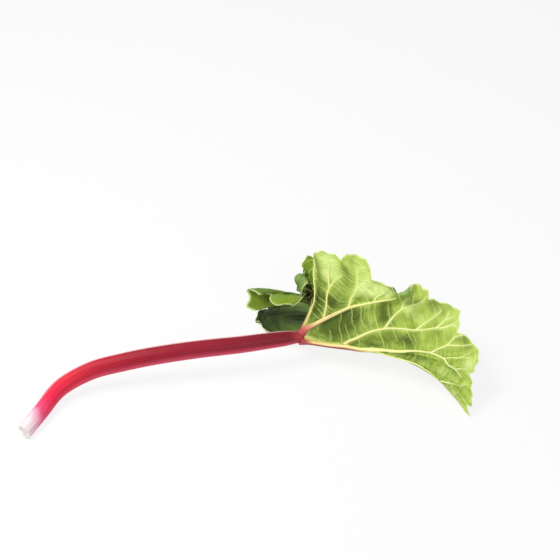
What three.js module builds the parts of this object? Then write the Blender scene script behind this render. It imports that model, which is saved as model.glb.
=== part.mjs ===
// A cut rhubarb stalk with its leaf, lying on a flat surface.
//
// The stalk is one fleshy petiole, D-shaped in section, from its pale cut base to the knuckle
// where the leaf's ribs spread out. The leaf blade is one sheet. It is folded along its midrib,
// so that one half stands up and leans back with its underside in front, and the other half
// lies behind the fold on the surface.
//
// Units are millimetres and +Z is up. The shape is laid out around the knuckle, with the stalk
// to -X, the leaf to +X and the floor at Z = 0. The finished object is then moved so that the
// origin is at the bottom centre of its bounding box.

import * as THREE from "three";

// ---------------------------------------------------------------- driving dimensions

// Stalk section: the belly is the round outer side, the back is the flat, grooved inner side.
// Its width from rim to rim is given at even steps, from the cut base to the knuckle. The other
// sizes are shares of that width.
const STALK_WIDTHS = [20.9, 22.2, 23.9, 24.2, 23.4, 22.8, 22.4, 21.9, 19.5];
const BELLY_SHARE = 0.46;
const BACK_SHARE = 0.19;
const GROOVE_DEPTH_SHARE = 0.08;
const GROOVE_HALF_WIDTH_SHARE = 0.2;
// The grooved back faces away and down by this angle, so the belly is turned to the front.
const BACK_DROP = THREE.MathUtils.degToRad(30);
// The stalk narrows into a round knuckle over the last part of its length.
const KNUCKLE_RADIUS = 8.4;
const KNUCKLE_BLEND_LENGTH = 0.06;

// The blade starts just clear of the knuckle, which it meets all along its ribs.
const BLADE_START_RADIUS = 9.2;
const BLADE_THICKNESS = 1.6;
// The main ribs stand out of the underside by this much beside the knuckle.
const RIB_RISE = 1.4;
const RIB_HALF_WIDTH = 3.5;
// The half that lies down stays this far above the surface, and eases onto it over this height.
const FLOOR_CLEARANCE = 1;
const FLOOR_EASE = 4;
// Below 1 the margin's scallops are full and round, with a sharp notch between them.
const SCALLOP_ROUNDNESS = 0.8;

// Mesh density.
const STALK_RINGS = 48;
const STALK_SIDES = 20;
const STALK_CAP_RINGS = 3;
const STEPS_PER_LOBE = 5;
const STEPS_OUTWARD = 11;

// ---------------------------------------------------------------- hand-placed shape

// Centreline of the stalk, from the cut base to the centre of the knuckle.
const STALK_ROUTE = [
  [-354, -157, 9.7],
  [-337, -120, 11.7],
  [-316, -81, 17.5],
  [-278, -58, 27],
  [-235, -47, 33],
  [-190, -39, 38],
  [-134, -30, 41],
  [-80, -22, 42],
  [-38, -12, 41],
  [0, -1, 38],
];

// The leaf's margin lobes, in order round the blade from the sinus edge of the standing half,
// over its tip, to the sinus edge of the half that lies down. A line runs out from the knuckle
// to each lobe. It "leaves" the knuckle at an azimuth and an elevation in degrees, passes
// "middle" half way and ends at "tip". "dip" is how far the margin falls back beside the lobe,
// as a share of the line's length, and "ruffle" is the height in millimetres of the margin's
// wave there.
const LOBES = [
  { leaves: [80, -14], middle: [16, 67, 27], tip: [-24, 86, 21], dip: 0.05, ruffle: 2 },
  { leaves: [77, 0], middle: [19, 65, 36], tip: [-70, 80, 31], dip: 0.09, ruffle: 6 },
  { leaves: [73, 14], middle: [19, 60, 46], tip: [-16, 48, 41], dip: 0.12, ruffle: 6 },
  { leaves: [67, 29], middle: [18, 56, 57], tip: [-11, 65, 68], dip: 0.05, ruffle: 4 },
  { leaves: [56, 38], middle: [19, 39, 71], tip: [-1, 78, 91], dip: 0.05, ruffle: 3 },
  { leaves: [45, 42], middle: [32, 43, 71], tip: [27, 101, 106], dip: 0.05, ruffle: 3 },
  { leaves: [30, 38], middle: [53, 33, 67], tip: [82, 94, 106], dip: 0.12, ruffle: 4 },
  { leaves: [17, 31], middle: [73, 28, 64], tip: [122, 27, 96], dip: 0.06, ruffle: 4 },
  { leaves: [6, 24], middle: [87, 16, 58], tip: [161, 37, 97], dip: 0.08, ruffle: 4 },
  { leaves: [-3, 16], middle: [109, -4, 52], tip: [205, 4, 84], dip: 0.06, ruffle: 5 },
  { leaves: [-9, 8], middle: [128, -27, 45], tip: [231, -64, 60], dip: 0.06, ruffle: 5 },
  { leaves: [-13, 0], middle: [130, -38, 40], tip: [221, -104, 24], dip: 0.05, ruffle: 4 },
  { leaves: [-10, -10], middle: [124, -42, 37], tip: [213, -113, 4], dip: 0.06, ruffle: 3 },
  { leaves: [-2, -18], middle: [96, 0, 14], tip: [190, -34, 3], dip: 0.08, ruffle: 3 },
  { leaves: [14, -28], middle: [76, 20, 4], tip: [142, 44, 3], dip: 0.09, ruffle: 4 },
  { leaves: [34, -36], middle: [46, 46, 3], tip: [88, 96, 3], dip: 0.09, ruffle: 5 },
  { leaves: [58, -41], middle: [14, 60, 3], tip: [30, 122, 4], dip: 0.09, ruffle: 6 },
  { leaves: [84, -42], middle: [-14, 60, 3], tip: [-22, 112, 10], dip: 0.09, ruffle: 6 },
  { leaves: [108, -40], middle: [-32, 46, 5], tip: [-58, 84, 14], dip: 0.07, ruffle: 5 },
  { leaves: [128, -36], middle: [-28, 26, 14], tip: [-56, 50, 14], dip: 0.02, ruffle: 3 },
];

// Where the main ribs leave the knuckle, counted in lobes along the list above.
const RIB_LOBES = [1.4, 4, 7.3, 10.3, 14, 16, 18];

// ---------------------------------------------------------------- curves and meshes

const LAST_LOBE = LOBES.length - 1;

function smoothCurve(points) {
  const vectors = points.map((point) => new THREE.Vector3(...point));
  return new THREE.CatmullRomCurve3(vectors, false, "catmullrom", 0.5);
}

// Gathers points and triangles, and turns them into a geometry.
class MeshBuilder {
  positions = [];
  indices = [];

  addPoint(point) {
    this.positions.push(point.x, point.y, point.z);
    return this.positions.length / 3 - 1;
  }

  addTriangle(a, b, c) {
    this.indices.push(a, b, c);
  }

  addQuad(a, b, c, d) {
    this.addTriangle(a, b, c);
    this.addTriangle(a, c, d);
  }

  build() {
    const geometry = new THREE.BufferGeometry();
    geometry.setAttribute("position", new THREE.Float32BufferAttribute(this.positions, 3));
    geometry.setIndex(this.indices);
    geometry.computeVertexNormals();
    return geometry;
  }
}

// A closed skin through rings of points, each ring counter-clockwise seen from its far end.
function skinRings(rings) {
  const mesh = new MeshBuilder();
  const sides = rings[0].length;
  const ids = rings.map((ring) => ring.map((point) => mesh.addPoint(point)));
  for (let r = 0; r + 1 < ids.length; r += 1) {
    for (let k = 0; k < sides; k += 1) {
      const next = (k + 1) % sides;
      mesh.addQuad(ids[r][k], ids[r][next], ids[r + 1][next], ids[r + 1][k]);
    }
  }
  const first = mesh.addPoint(centreOf(rings[0]));
  const last = mesh.addPoint(centreOf(rings.at(-1)));
  for (let k = 0; k < sides; k += 1) {
    const next = (k + 1) % sides;
    mesh.addTriangle(first, ids[0][next], ids[0][k]);
    mesh.addTriangle(last, ids.at(-1)[k], ids.at(-1)[next]);
  }
  return mesh.build();
}

function centreOf(ring) {
  const centre = new THREE.Vector3();
  ring.forEach((point) => centre.add(point));
  return centre.divideScalar(ring.length);
}

// A closed sheet between two grids of points that share their rows and columns.
function skinSheet(upper, lower) {
  const mesh = new MeshBuilder();
  const up = upper.map((row) => row.map((point) => mesh.addPoint(point)));
  const low = lower.map((row) => row.map((point) => mesh.addPoint(point)));
  const rows = upper.length - 1;
  const columns = upper[0].length - 1;
  for (let i = 0; i < rows; i += 1) {
    for (let j = 0; j < columns; j += 1) {
      mesh.addQuad(up[i][j], up[i][j + 1], up[i + 1][j + 1], up[i + 1][j]);
      mesh.addQuad(low[i][j], low[i + 1][j], low[i + 1][j + 1], low[i][j + 1]);
    }
  }
  const edge = [];
  for (let j = 0; j < columns; j += 1) edge.push([0, j]);
  for (let i = 0; i < rows; i += 1) edge.push([i, columns]);
  for (let j = columns; j > 0; j -= 1) edge.push([rows, j]);
  for (let i = rows; i > 0; i -= 1) edge.push([i, 0]);
  edge.forEach(([i, j], k) => {
    const [nextI, nextJ] = edge[(k + 1) % edge.length];
    mesh.addQuad(up[nextI][nextJ], up[i][j], low[i][j], low[nextI][nextJ]);
  });
  return mesh.build();
}

// ---------------------------------------------------------------- stalk

// One point of the D-shaped section of unit width: x from rim to rim, y towards its back.
function stalkSection(turn) {
  const x = Math.cos(turn) / 2;
  if (Math.sin(turn) < 0) return [x, BELLY_SHARE * Math.sin(turn)];
  const flatBack = BACK_SHARE * Math.sqrt(Math.max(0, 1 - Math.cos(turn) ** 4));
  const groove = GROOVE_DEPTH_SHARE * Math.exp(-((x / GROOVE_HALF_WIDTH_SHARE) ** 2));
  return [x, flatBack - groove];
}

// The stalk's own directions at one place: along it, across it from rim to rim, and its back.
function stalkFrame(route, u) {
  const along = route.getTangentAt(u);
  const side = new THREE.Vector3(0, 0, 1).cross(along).normalize();
  const rise = along.clone().cross(side);
  const back = side.clone().multiplyScalar(Math.cos(BACK_DROP));
  back.addScaledVector(rise, -Math.sin(BACK_DROP));
  const across = back.clone().cross(along);
  return { along, across, back };
}

function stalkRing(route, widths, u) {
  const { across, back } = stalkFrame(route, u);
  const centre = route.getPointAt(u);
  const width = widths.getPoint(u).x;
  const roundness = THREE.MathUtils.smoothstep(u, 1 - KNUCKLE_BLEND_LENGTH, 1);
  const ring = [];
  for (let k = 0; k < STALK_SIDES; k += 1) {
    const turn = (2 * Math.PI * k) / STALK_SIDES;
    const [x, y] = stalkSection(turn);
    const roundX = KNUCKLE_RADIUS * Math.cos(turn);
    const roundY = KNUCKLE_RADIUS * Math.sin(turn);
    const point = centre.clone();
    point.addScaledVector(across, THREE.MathUtils.lerp(x * width, roundX, roundness));
    point.addScaledVector(back, THREE.MathUtils.lerp(y * width, roundY, roundness));
    ring.push(point);
  }
  return ring;
}

// The knuckle closes with a dome round the end of the centreline.
function knuckleRing(route, lift) {
  const { along, across, back } = stalkFrame(route, 1);
  const centre = route.getPointAt(1).addScaledVector(along, KNUCKLE_RADIUS * Math.sin(lift));
  const radius = KNUCKLE_RADIUS * Math.cos(lift);
  const ring = [];
  for (let k = 0; k < STALK_SIDES; k += 1) {
    const turn = (2 * Math.PI * k) / STALK_SIDES;
    const point = centre.clone().addScaledVector(across, radius * Math.cos(turn));
    ring.push(point.addScaledVector(back, radius * Math.sin(turn)));
  }
  return ring;
}

function makeStalk() {
  const route = smoothCurve(STALK_ROUTE);
  const widths = smoothCurve(STALK_WIDTHS.map((width) => [width, 0, 0]));
  const rings = [];
  for (let r = 0; r <= STALK_RINGS; r += 1) {
    rings.push(stalkRing(route, widths, r / STALK_RINGS));
  }
  for (let r = 1; r <= STALK_CAP_RINGS; r += 1) {
    rings.push(knuckleRing(route, (r / (STALK_CAP_RINGS + 1)) * (Math.PI / 2)));
  }
  const material = new THREE.MeshStandardMaterial({
    color: 0xb53a44,
    roughness: 0.38,
    metalness: 0,
  });
  const stalk = new THREE.Mesh(skinRings(rings), material);
  stalk.name = "stalk";
  return stalk;
}

// ---------------------------------------------------------------- leaf blade

const KNUCKLE = new THREE.Vector3(...STALK_ROUTE.at(-1));
const HEADINGS = smoothCurve(LOBES.map((lobe) => headingOf(...lobe.leaves)));
const MIDDLES = smoothCurve(LOBES.map((lobe) => lobe.middle));
const TIPS = smoothCurve(LOBES.map((lobe) => lobe.tip));
const EDGES = smoothCurve(LOBES.map((lobe) => [lobe.dip, lobe.ruffle, 0]));

// Unit vector at an azimuth and an elevation in degrees.
function headingOf(azimuth, elevation) {
  const turn = THREE.MathUtils.degToRad(azimuth);
  const lift = THREE.MathUtils.degToRad(elevation);
  const level = Math.cos(lift);
  return [level * Math.cos(turn), level * Math.sin(turn), Math.sin(lift)];
}

// The line from the knuckle to the margin at one place round it. "lobe" counts round the
// margin, and need not be whole. The curve leaves the knuckle at the lobe's heading.
function lobeLine(lobe) {
  const share = lobe / LAST_LOBE;
  const middle = MIDDLES.getPoint(share);
  const tip = TIPS.getPoint(share);
  const heading = HEADINGS.getPoint(share).normalize();
  const first = KNUCKLE.clone().addScaledVector(heading, (2 / 3) * middle.distanceTo(KNUCKLE));
  const second = middle.clone().multiplyScalar(8).sub(KNUCKLE).sub(tip);
  second.divideScalar(3).sub(first);
  return new THREE.CubicBezierCurve3(KNUCKLE, first, second, tip);
}

// A point of the smooth, folded blade: "t" runs from the knuckle to the lobe's tip.
function foldedSheet(lobe, t) {
  return lobeLine(lobe).getPoint(t);
}

// Unit normal of a surface given as a function of two parameters, on the leaf's upper side.
function upperNormal(surface, lobe, outward) {
  const step = 0.001;
  const before = surface(Math.max(lobe - step, 0), outward);
  const after = surface(Math.min(lobe + step, LAST_LOBE), outward);
  const inner = surface(lobe, outward - step);
  const outer = surface(lobe, outward + step);
  return outer.sub(inner).cross(after.sub(before)).normalize();
}

// The leaf blade's mid surface: ruffled towards the scalloped margin, and kept off the floor.
function bladePoint(lobe, reach) {
  const line = lobeLine(lobe);
  const start = BLADE_START_RADIUS / (3 * line.v1.distanceTo(KNUCKLE));
  const { x: dip, y: ruffle } = EDGES.getPoint(lobe / LAST_LOBE);
  const margin = 1 - dip * (1 - Math.abs(Math.cos(Math.PI * lobe)) ** SCALLOP_ROUNDNESS);
  const t = start + (margin - start) * reach;
  const wave = ruffle * reach ** 3 * Math.cos(2 * Math.PI * lobe);
  const point = line.getPoint(t);
  point.addScaledVector(upperNormal(foldedSheet, lobe, t), wave);
  const height = point.z - FLOOR_CLEARANCE;
  point.z = FLOOR_CLEARANCE + (height + Math.hypot(height, FLOOR_EASE)) / 2;
  return point;
}

// Height of the ribs above the underside, largest beside the knuckle and gone at the margin.
function ribHeight(lobe, reach) {
  const here = bladePoint(lobe, reach);
  let height = 0;
  for (const rib of RIB_LOBES) {
    const distance = here.distanceTo(bladePoint(rib, reach));
    const bump = Math.exp(-((distance / RIB_HALF_WIDTH) ** 2));
    height = Math.max(height, RIB_RISE * (1 - reach) * bump);
  }
  return height;
}

function makeLeafBlade() {
  const upper = [];
  const lower = [];
  for (let i = 0; i <= LAST_LOBE * STEPS_PER_LOBE; i += 1) {
    const lobe = i / STEPS_PER_LOBE;
    upper.push([]);
    lower.push([]);
    for (let j = 0; j <= STEPS_OUTWARD; j += 1) {
      const reach = j / STEPS_OUTWARD;
      const point = bladePoint(lobe, reach);
      const normal = upperNormal(bladePoint, lobe, reach);
      const below = BLADE_THICKNESS / 2 + ribHeight(lobe, reach);
      upper[i].push(point.clone().addScaledVector(normal, BLADE_THICKNESS / 2));
      lower[i].push(point.clone().addScaledVector(normal, -below));
    }
  }
  const material = new THREE.MeshStandardMaterial({
    color: 0x8fae4a,
    roughness: 0.55,
    metalness: 0,
  });
  const blade = new THREE.Mesh(skinSheet(upper, lower), material);
  blade.name = "leaf_blade";
  return blade;
}

// ---------------------------------------------------------------- assembly

const rhubarb = new THREE.Group();
rhubarb.add(makeStalk());
rhubarb.add(makeLeafBlade());

// Puts the origin at the bottom centre of the whole object.
const bounds = new THREE.Box3().setFromObject(rhubarb);
const centre = bounds.getCenter(new THREE.Vector3());
rhubarb.position.set(-centre.x, -centre.y, -bounds.min.z);

export default rhubarb;
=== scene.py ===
# %% [markdown]
# # A rhubarb stalk with its leaf
#
# The object is one cut rhubarb stalk lying on a pale table: a long fleshy stalk, red with a
# white foot, and the leaf that still grows on it. The leaf is folded along its midrib, and its
# yellow-green underside faces the viewer.
#
# The packed part is loaded first, as a fixed frame. Its two solids, the stalk and the leaf
# blade, say where everything goes. Each is then replaced by finer pieces of the same shape.

import math
import random

import bpy
import numpy as np
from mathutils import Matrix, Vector, kdtree, noise
from mathutils.geometry import delaunay_2d_cdt


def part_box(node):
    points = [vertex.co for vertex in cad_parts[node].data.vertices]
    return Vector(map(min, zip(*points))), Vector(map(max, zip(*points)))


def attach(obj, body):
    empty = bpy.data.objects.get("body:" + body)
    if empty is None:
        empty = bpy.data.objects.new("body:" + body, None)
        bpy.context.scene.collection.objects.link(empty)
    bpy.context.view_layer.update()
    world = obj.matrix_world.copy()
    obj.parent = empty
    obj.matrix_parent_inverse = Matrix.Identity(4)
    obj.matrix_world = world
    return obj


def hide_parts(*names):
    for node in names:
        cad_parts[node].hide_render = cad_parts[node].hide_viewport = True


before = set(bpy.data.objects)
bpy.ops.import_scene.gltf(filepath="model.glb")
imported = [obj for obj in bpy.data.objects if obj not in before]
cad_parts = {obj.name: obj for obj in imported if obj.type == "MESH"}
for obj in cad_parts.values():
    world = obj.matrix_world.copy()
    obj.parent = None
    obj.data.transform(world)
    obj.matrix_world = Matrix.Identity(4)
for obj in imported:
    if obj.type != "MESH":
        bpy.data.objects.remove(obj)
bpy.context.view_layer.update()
print("CAD nodes:", sorted(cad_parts))

# %% [markdown]
# ## The shape's own numbers
#
# The stalk and the leaf follow the same few numbers as the CAD part, in millimetres, laid out
# round the knuckle where the stalk meets the leaf. A smooth curve through a short list of
# points could be a Blender curve, but the leaf needs thousands of places on it, so the curve is
# a small function on arrays: a Catmull-Rom spline, which passes through every point it is given.

# %% Smooth curves through a list of points
STALK_ROUTE = np.array([
    (-354, -157, 9.7), (-337, -120, 11.7), (-316, -81, 17.5), (-278, -58, 27), (-235, -47, 33),
    (-190, -39, 38), (-134, -30, 41), (-80, -22, 42), (-38, -12, 41), (0, -1, 38),
], float)
KNUCKLE = STALK_ROUTE[-1]
ROUTE_SAMPLES = 1801


def smooth(points, place):
    """Points of the spline at places counted in list entries, such as 2.5 for half way on."""
    points = np.asarray(points, float)
    if points.ndim == 1:
        points = points[:, None]
    place = np.asarray(place, float)
    count = len(points)
    first = 2 * points[0] - points[1]
    last = 2 * points[-1] - points[-2]
    padded = np.vstack([first, points, last])
    index = np.clip(np.floor(place).astype(int), 0, count - 2)
    f = (place - index)[..., None]
    a, b, c, d = (padded[index + k] for k in range(4))
    return 0.5 * (2 * b + (c - a) * f + (2 * a - 5 * b + 4 * c - d) * f**2
                  + (3 * b - a - 3 * c + d) * f**3)


def path_lengths(line):
    """Distance along a line of points at each of its points."""
    return np.concatenate([[0], np.cumsum(np.linalg.norm(np.diff(line, axis=0), axis=1))])


def along_line(line, wanted):
    """Points at the wanted distances along a line of points."""
    lengths = path_lengths(line)
    return np.stack([np.interp(wanted, lengths, column) for column in line.T], -1)


dense_route = smooth(STALK_ROUTE, np.linspace(0, len(STALK_ROUTE) - 1, ROUTE_SAMPLES))
stalk_length = float(path_lengths(dense_route)[-1])
print("stalk length along its bend:", round(stalk_length), "mm")

# %% Directions, gentle steps and humps
SMALL_STEP = 1e-3


def unit(vectors):
    """The same directions with a length of one."""
    return vectors / (np.linalg.norm(vectors, axis=-1, keepdims=True) + 1e-12)


def eased(share):
    """A share kept between 0 and 1 that leaves 0 and reaches 1 gently."""
    share = np.clip(share, 0, 1)
    return share * share * (3 - 2 * share)


def hump(x, width, middle=0.0):
    """A smooth hump that is 1 at its middle and almost 0 at twice its width from there."""
    return np.exp(-(((x - middle) / width) ** 2))


print("a hump at half its width:", round(float(hump(0.5, 1.0)), 2))

# %% [markdown]
# ## Where the object stands
#
# The numbers above count from the knuckle, and the packed part counts from the middle of its
# own box. The stalk gives the step between the two: its skin is worked out here from the same
# D-shaped section, and the lowest corner of that skin must land on the lowest corner of the
# CAD node's box.

# %% Find the step from the knuckle's own numbers to the packed frame
# widths from rim to rim at even steps from the base to the knuckle; the shares are of the width
STALK_WIDTHS = np.array([20.9, 22.2, 23.9, 24.8, 24.8, 24.4, 23.6, 22.4, 19.5])
BELLY_SHARE = 0.46
BACK_SHARE = 0.19
GROOVE_DEPTH_SHARE = 0.08
GROOVE_HALF_WIDTH_SHARE = 0.2
BACK_DROP = math.radians(30)
KNUCKLE_RADIUS = 8.4
KNUCKLE_BLEND = 0.06
SKIN_RINGS, SKIN_CORNERS = 49, 20


def stalk_width(u):
    """Width from rim to rim in millimetres at a share of the stalk's length."""
    return smooth(STALK_WIDTHS, np.asarray(u) * (len(STALK_WIDTHS) - 1))[..., 0]


def stalk_skin(u, turn):
    """Points of the CAD stalk's skin at shares u of its length and turns round its section."""
    def centre(share):
        return along_line(dense_route, np.clip(share, 0, 1) * stalk_length)
    along = unit(centre(u + SMALL_STEP) - centre(u - SMALL_STEP))
    side = unit(np.cross((0, 0, 1), along))
    rise = np.cross(along, side)
    back = side * math.cos(BACK_DROP) - rise * math.sin(BACK_DROP)
    across = np.cross(back, along)
    c, s = np.cos(turn), np.sin(turn)
    x = c / 2
    groove = GROOVE_DEPTH_SHARE * hump(x, GROOVE_HALF_WIDTH_SHARE)
    y = np.where(s < 0, BELLY_SHARE * s, BACK_SHARE * np.sqrt(np.maximum(0, 1 - c**4)) - groove)
    blend = eased((u - 1 + KNUCKLE_BLEND) / KNUCKLE_BLEND)
    x = x * stalk_width(u) * (1 - blend) + KNUCKLE_RADIUS * c * blend
    y = y * stalk_width(u) * (1 - blend) + KNUCKLE_RADIUS * s * blend
    return centre(u) + across * x[..., None] + back * y[..., None]


skin = stalk_skin(*np.meshgrid(np.linspace(0, 1, SKIN_RINGS),
                               np.arange(SKIN_CORNERS) * 2 * math.pi / SKIN_CORNERS,
                               indexing="ij"))
node_low = np.array(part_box("stalk")[0]) * 1000
STEP_TO_FRAME = node_low - skin.reshape(-1, 3).min(axis=0)


def to_frame(points_mm):
    """Millimetres round the knuckle, as metres in the packed frame."""
    return (np.asarray(points_mm, float) + STEP_TO_FRAME) / 1000


print("step to the packed frame:", STEP_TO_FRAME.round(2), "mm")

# %% [markdown]
# ## The camera
#
# The camera looks down on the stalk from in front, from a distance of nearly two metres through
# a long lens, so lines that run away from it hardly close up. A short lens close by would show
# as much of the object, but it would swell whatever is nearest.

# %% Camera
scene = bpy.context.scene
SENSOR_WIDTH_MM, LENS_MM = 36.0, 90.5


def link_object(name, data):
    """An object in the scene for a camera, a lamp, a mesh or a curve."""
    item = bpy.data.objects.new(name, data)
    scene.collection.objects.link(item)
    return item


def face(item, place, target):
    """Puts a camera or a lamp at a place and turns it to look at a target."""
    item.location = place
    item.rotation_euler = (Vector(target) - Vector(place)).to_track_quat("-Z", "Y").to_euler()


aim = to_frame((-27, 45.7, 98.5))
eye = to_frame((-27, -1451.5, 1268.3))
camera_data = bpy.data.cameras.new("camera")
camera_data.sensor_width = SENSOR_WIDTH_MM
camera_data.lens = LENS_MM
camera_data.clip_end = 20.0
scene.camera = link_object("camera", camera_data)
face(scene.camera, eye, aim)
print("camera at", [round(float(v), 3) for v in eye])

# %% [markdown]
# ## A short way to write node trees
#
# The surroundings, the table and every finish are shader trees, and the ribs, the veins and the
# stalk are Geometry Nodes trees. They could be drawn by hand in the node editor. Written out,
# all of them are wired by the same small helper: it adds a node, sets its options, and then
# either links each input to another node's output or gives it a plain value.

# %% Node helper
class Wiring:
    """Adds and links the nodes of one tree. Most of its ways give back a socket to wire on."""

    def __init__(self, tree):
        self.tree = tree

    def feed(self, socket, value):
        if isinstance(value, bpy.types.NodeSocket):
            self.tree.links.new(value, socket)
        elif value is not None:
            socket.default_value = value

    def add(self, kind, options=None, **inputs):
        node = self.tree.nodes.new(kind)
        for option, value in (options or {}).items():
            setattr(node, option, value)
        for name, value in inputs.items():
            self.feed(node.inputs[name.replace("_", " ")], value)
        return node

    def first_inputs(self, node, *values):
        """Feeds a node's inputs in their order, for nodes whose inputs share a name."""
        for socket, value in zip(node.inputs, values):
            self.feed(socket, value)
        return node.outputs

    def geo(self, kind, options=None, **inputs):
        """The first output of a new Geometry Nodes node."""
        return self.add("GeometryNode" + kind, options, **inputs).outputs[0]

    def math(self, operation, *values):
        return self.first_inputs(self.add("ShaderNodeMath", {"operation": operation}), *values)[0]

    def plus(self, a, b):
        return self.math("ADD", a, b)

    def minus(self, a, b):
        return self.math("SUBTRACT", a, b)

    def times(self, a, b):
        return self.math("MULTIPLY", a, b)

    def vector(self, operation, a, b=None, scale=None):
        node = self.add("ShaderNodeVectorMath", {"operation": operation})
        if scale is not None:
            self.feed(node.inputs["Scale"], scale)
        return self.first_inputs(node, a, b)["Value" if operation == "LENGTH" else "Vector"]

    def scaled(self, vector, factor):
        return self.vector("SCALE", vector, scale=factor)

    def combine(self, x, y, z):
        return self.first_inputs(self.add("ShaderNodeCombineXYZ"), x, y, z)[0]

    def parts(self, vector):
        return self.add("ShaderNodeSeparateXYZ", Vector=vector).outputs

    def noise(self, place, scale, detail, roughness=0.5):
        return self.add("ShaderNodeTexNoise", Vector=place, Scale=scale, Detail=detail,
                        Roughness=roughness).outputs

    def ramp(self, value, low, high, to_low=0.0, to_high=1.0, soft=False):
        kind = "SMOOTHSTEP" if soft else "LINEAR"
        node = self.add("ShaderNodeMapRange", {"interpolation_type": kind}, Value=value)
        for name, number in (("From Min", low), ("From Max", high),
                             ("To Min", to_low), ("To Max", to_high)):
            self.feed(node.inputs[name], number)
        return node.outputs["Result"]


print("the helper has", len([name for name in vars(Wiring) if name[0] != "_"]), "ways to wire")

# %% [markdown]
# ## Light
#
# The light is a wide, soft lamp high on the left and a weaker one on the right, as in a small
# product studio, and a little even light from all round.
#
# The surroundings look white all the same. More light would do that too, but it would wash the
# object out. Instead they are white only where the camera, a reflection or clear glass looks at
# them, and light the object with much less.

# %% Colour management, lamps and world
scene.view_settings.view_transform = "Standard"
SOFTBOXES = [
    # name, place, what it points at, size, watts, tint
    ("key_softbox", (-0.85, -0.05, 1.6), (0, 0, 0.03), (1.0, 0.8), 29, (1.0, 0.99, 0.96)),
    ("fill_softbox", (0.9, -1.5, 1.0), (0.05, 0, 0.04), (1.4, 1.0), 11, (0.97, 0.98, 1.0)),
]
for name, place, target, size, watts, tint in SOFTBOXES:
    lamp = bpy.data.lights.new(name, "AREA")
    lamp.shape = "RECTANGLE"
    lamp.size, lamp.size_y = size
    lamp.energy = watts
    lamp.color = tint
    face(link_object(name, lamp), place, target)


def white_where_seen(w, look, white_kind, share):
    """A look, mixed with white where it is seen straight, mirrored or through something."""
    rays = w.add("ShaderNodeLightPath").outputs
    seen = rays["Is Camera Ray"]
    for kind in ("Is Glossy Ray", "Is Transmission Ray"):
        seen = w.math("MAXIMUM", seen, rays[kind])
    white = w.add(white_kind, Color=(1.0, 1.0, 1.0, 1.0), Strength=1.0).outputs[0]
    mix = w.add("ShaderNodeMixShader")
    return w.first_inputs(mix, w.times(seen, share), look, white)[0]


world = bpy.data.worlds.new("studio")
world.use_nodes = True
w = Wiring(world.node_tree)
w.tree.nodes.clear()
even_light = w.add("ShaderNodeBackground", Color=(0.95, 0.97, 1.0, 1.0), Strength=0.25).outputs[0]
w.add("ShaderNodeOutputWorld",
      Surface=white_where_seen(w, even_light, "ShaderNodeBackground", 1.0))
scene.world = world

# %% [markdown]
# ## The table
#
# The table is a large pale square under the object. Like the surroundings it adds a steady
# white of its own where it is looked at, but it keeps a part of its shading, so the object's
# soft shadow still shows and the stalk seems to lie on something.

# %% Table
TABLE_REACH = 4
TABLE_WHITE_SHARE = 0.86
corners = [(TABLE_REACH * x, TABLE_REACH * y, 0) for x, y in ((-1, -1), (1, -1), (1, 1), (-1, 1))]
floor_mesh = bpy.data.meshes.new("table")
floor_mesh.from_pydata(corners, [], [(0, 1, 2, 3)])
floor = link_object("table", floor_mesh)

table_paint = bpy.data.materials.new("table_paint")
table_paint.use_nodes = True
w = Wiring(table_paint.node_tree)
w.tree.nodes.clear()
matt = w.add("ShaderNodeBsdfDiffuse", Color=(0.88, 0.88, 0.88, 1.0)).outputs[0]
w.add("ShaderNodeOutputMaterial",
      Surface=white_where_seen(w, matt, "ShaderNodeEmission", TABLE_WHITE_SHARE))
floor_mesh.materials.append(table_paint)
print("table is", tuple(round(v, 1) for v in floor.dimensions), "m")

# %% [markdown]
# ## The leaf's folded sheet
#
# A rhubarb leaf is one thin sheet that hangs from the knuckle like a fan. Its margin is drawn
# out into lobes, and a line runs from the knuckle to each lobe's tip. Such a sheet could be
# sculpted, but lines that fan out from one place are easy to state: each one leaves the knuckle
# in a given direction, passes a middle point and ends at a tip. Between the lobes, everything
# changes smoothly. "t" runs along a line, from 0 at the knuckle to 1 at the lobe's tip.

# %% The lobes and the smooth sheet through them
# azimuth and elevation at the knuckle, middle, tip, dip of the margin, ruffle, angle laid flat
LOBES = [
    (80, -14, (16, 67, 27), (-24, 86, 21), 0.05, 2, 160),
    (77, 0, (19, 65, 36), (-70, 80, 31), 0.09, 6, 144),
    (73, 14, (19, 60, 46), (-16, 48, 41), 0.12, 6, 128),
    (67, 29, (18, 56, 57), (-11, 65, 68), 0.05, 4, 112),
    (56, 38, (19, 39, 71), (-1, 78, 91), 0.05, 3, 96),
    (45, 42, (32, 43, 71), (27, 101, 106), 0.05, 3, 76),
    (30, 38, (53, 33, 67), (82, 94, 106), 0.12, 4, 58),
    (17, 31, (73, 28, 64), (122, 27, 96), 0.06, 4, 42),
    (6, 24, (87, 16, 58), (161, 37, 97), 0.08, 4, 31),
    (-3, 16, (109, -4, 52), (205, 4, 84), 0.06, 5, 20),
    (-9, 8, (128, -27, 45), (231, -64, 60), 0.06, 5, 7),
    (-13, 0, (130, -38, 40), (221, -104, 24), 0.05, 4, -8),
    (-10, -10, (124, -42, 37), (213, -113, 4), 0.06, 3, -20),
    (-2, -18, (96, 0, 14), (190, -34, 3), 0.08, 3, -34),
    (14, -28, (76, 20, 4), (142, 44, 3), 0.09, 4, -52),
    (34, -36, (46, 46, 3), (88, 96, 3), 0.09, 5, -74),
    (58, -41, (14, 60, 3), (30, 122, 4), 0.09, 6, -96),
    (84, -42, (-14, 60, 3), (-22, 112, 10), 0.09, 6, -118),
    (108, -40, (-32, 46, 5), (-58, 84, 14), 0.07, 5, -140),
    (128, -36, (-28, 26, 14), (-56, 50, 14), 0.02, 3, -158),
]
LAST_LOBE = len(LOBES) - 1
azimuths, elevations, MIDDLES, TIPS, DIPS, RUFFLES, FLAT_ANGLES = (
    np.array(column, float) for column in zip(*LOBES))
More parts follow.
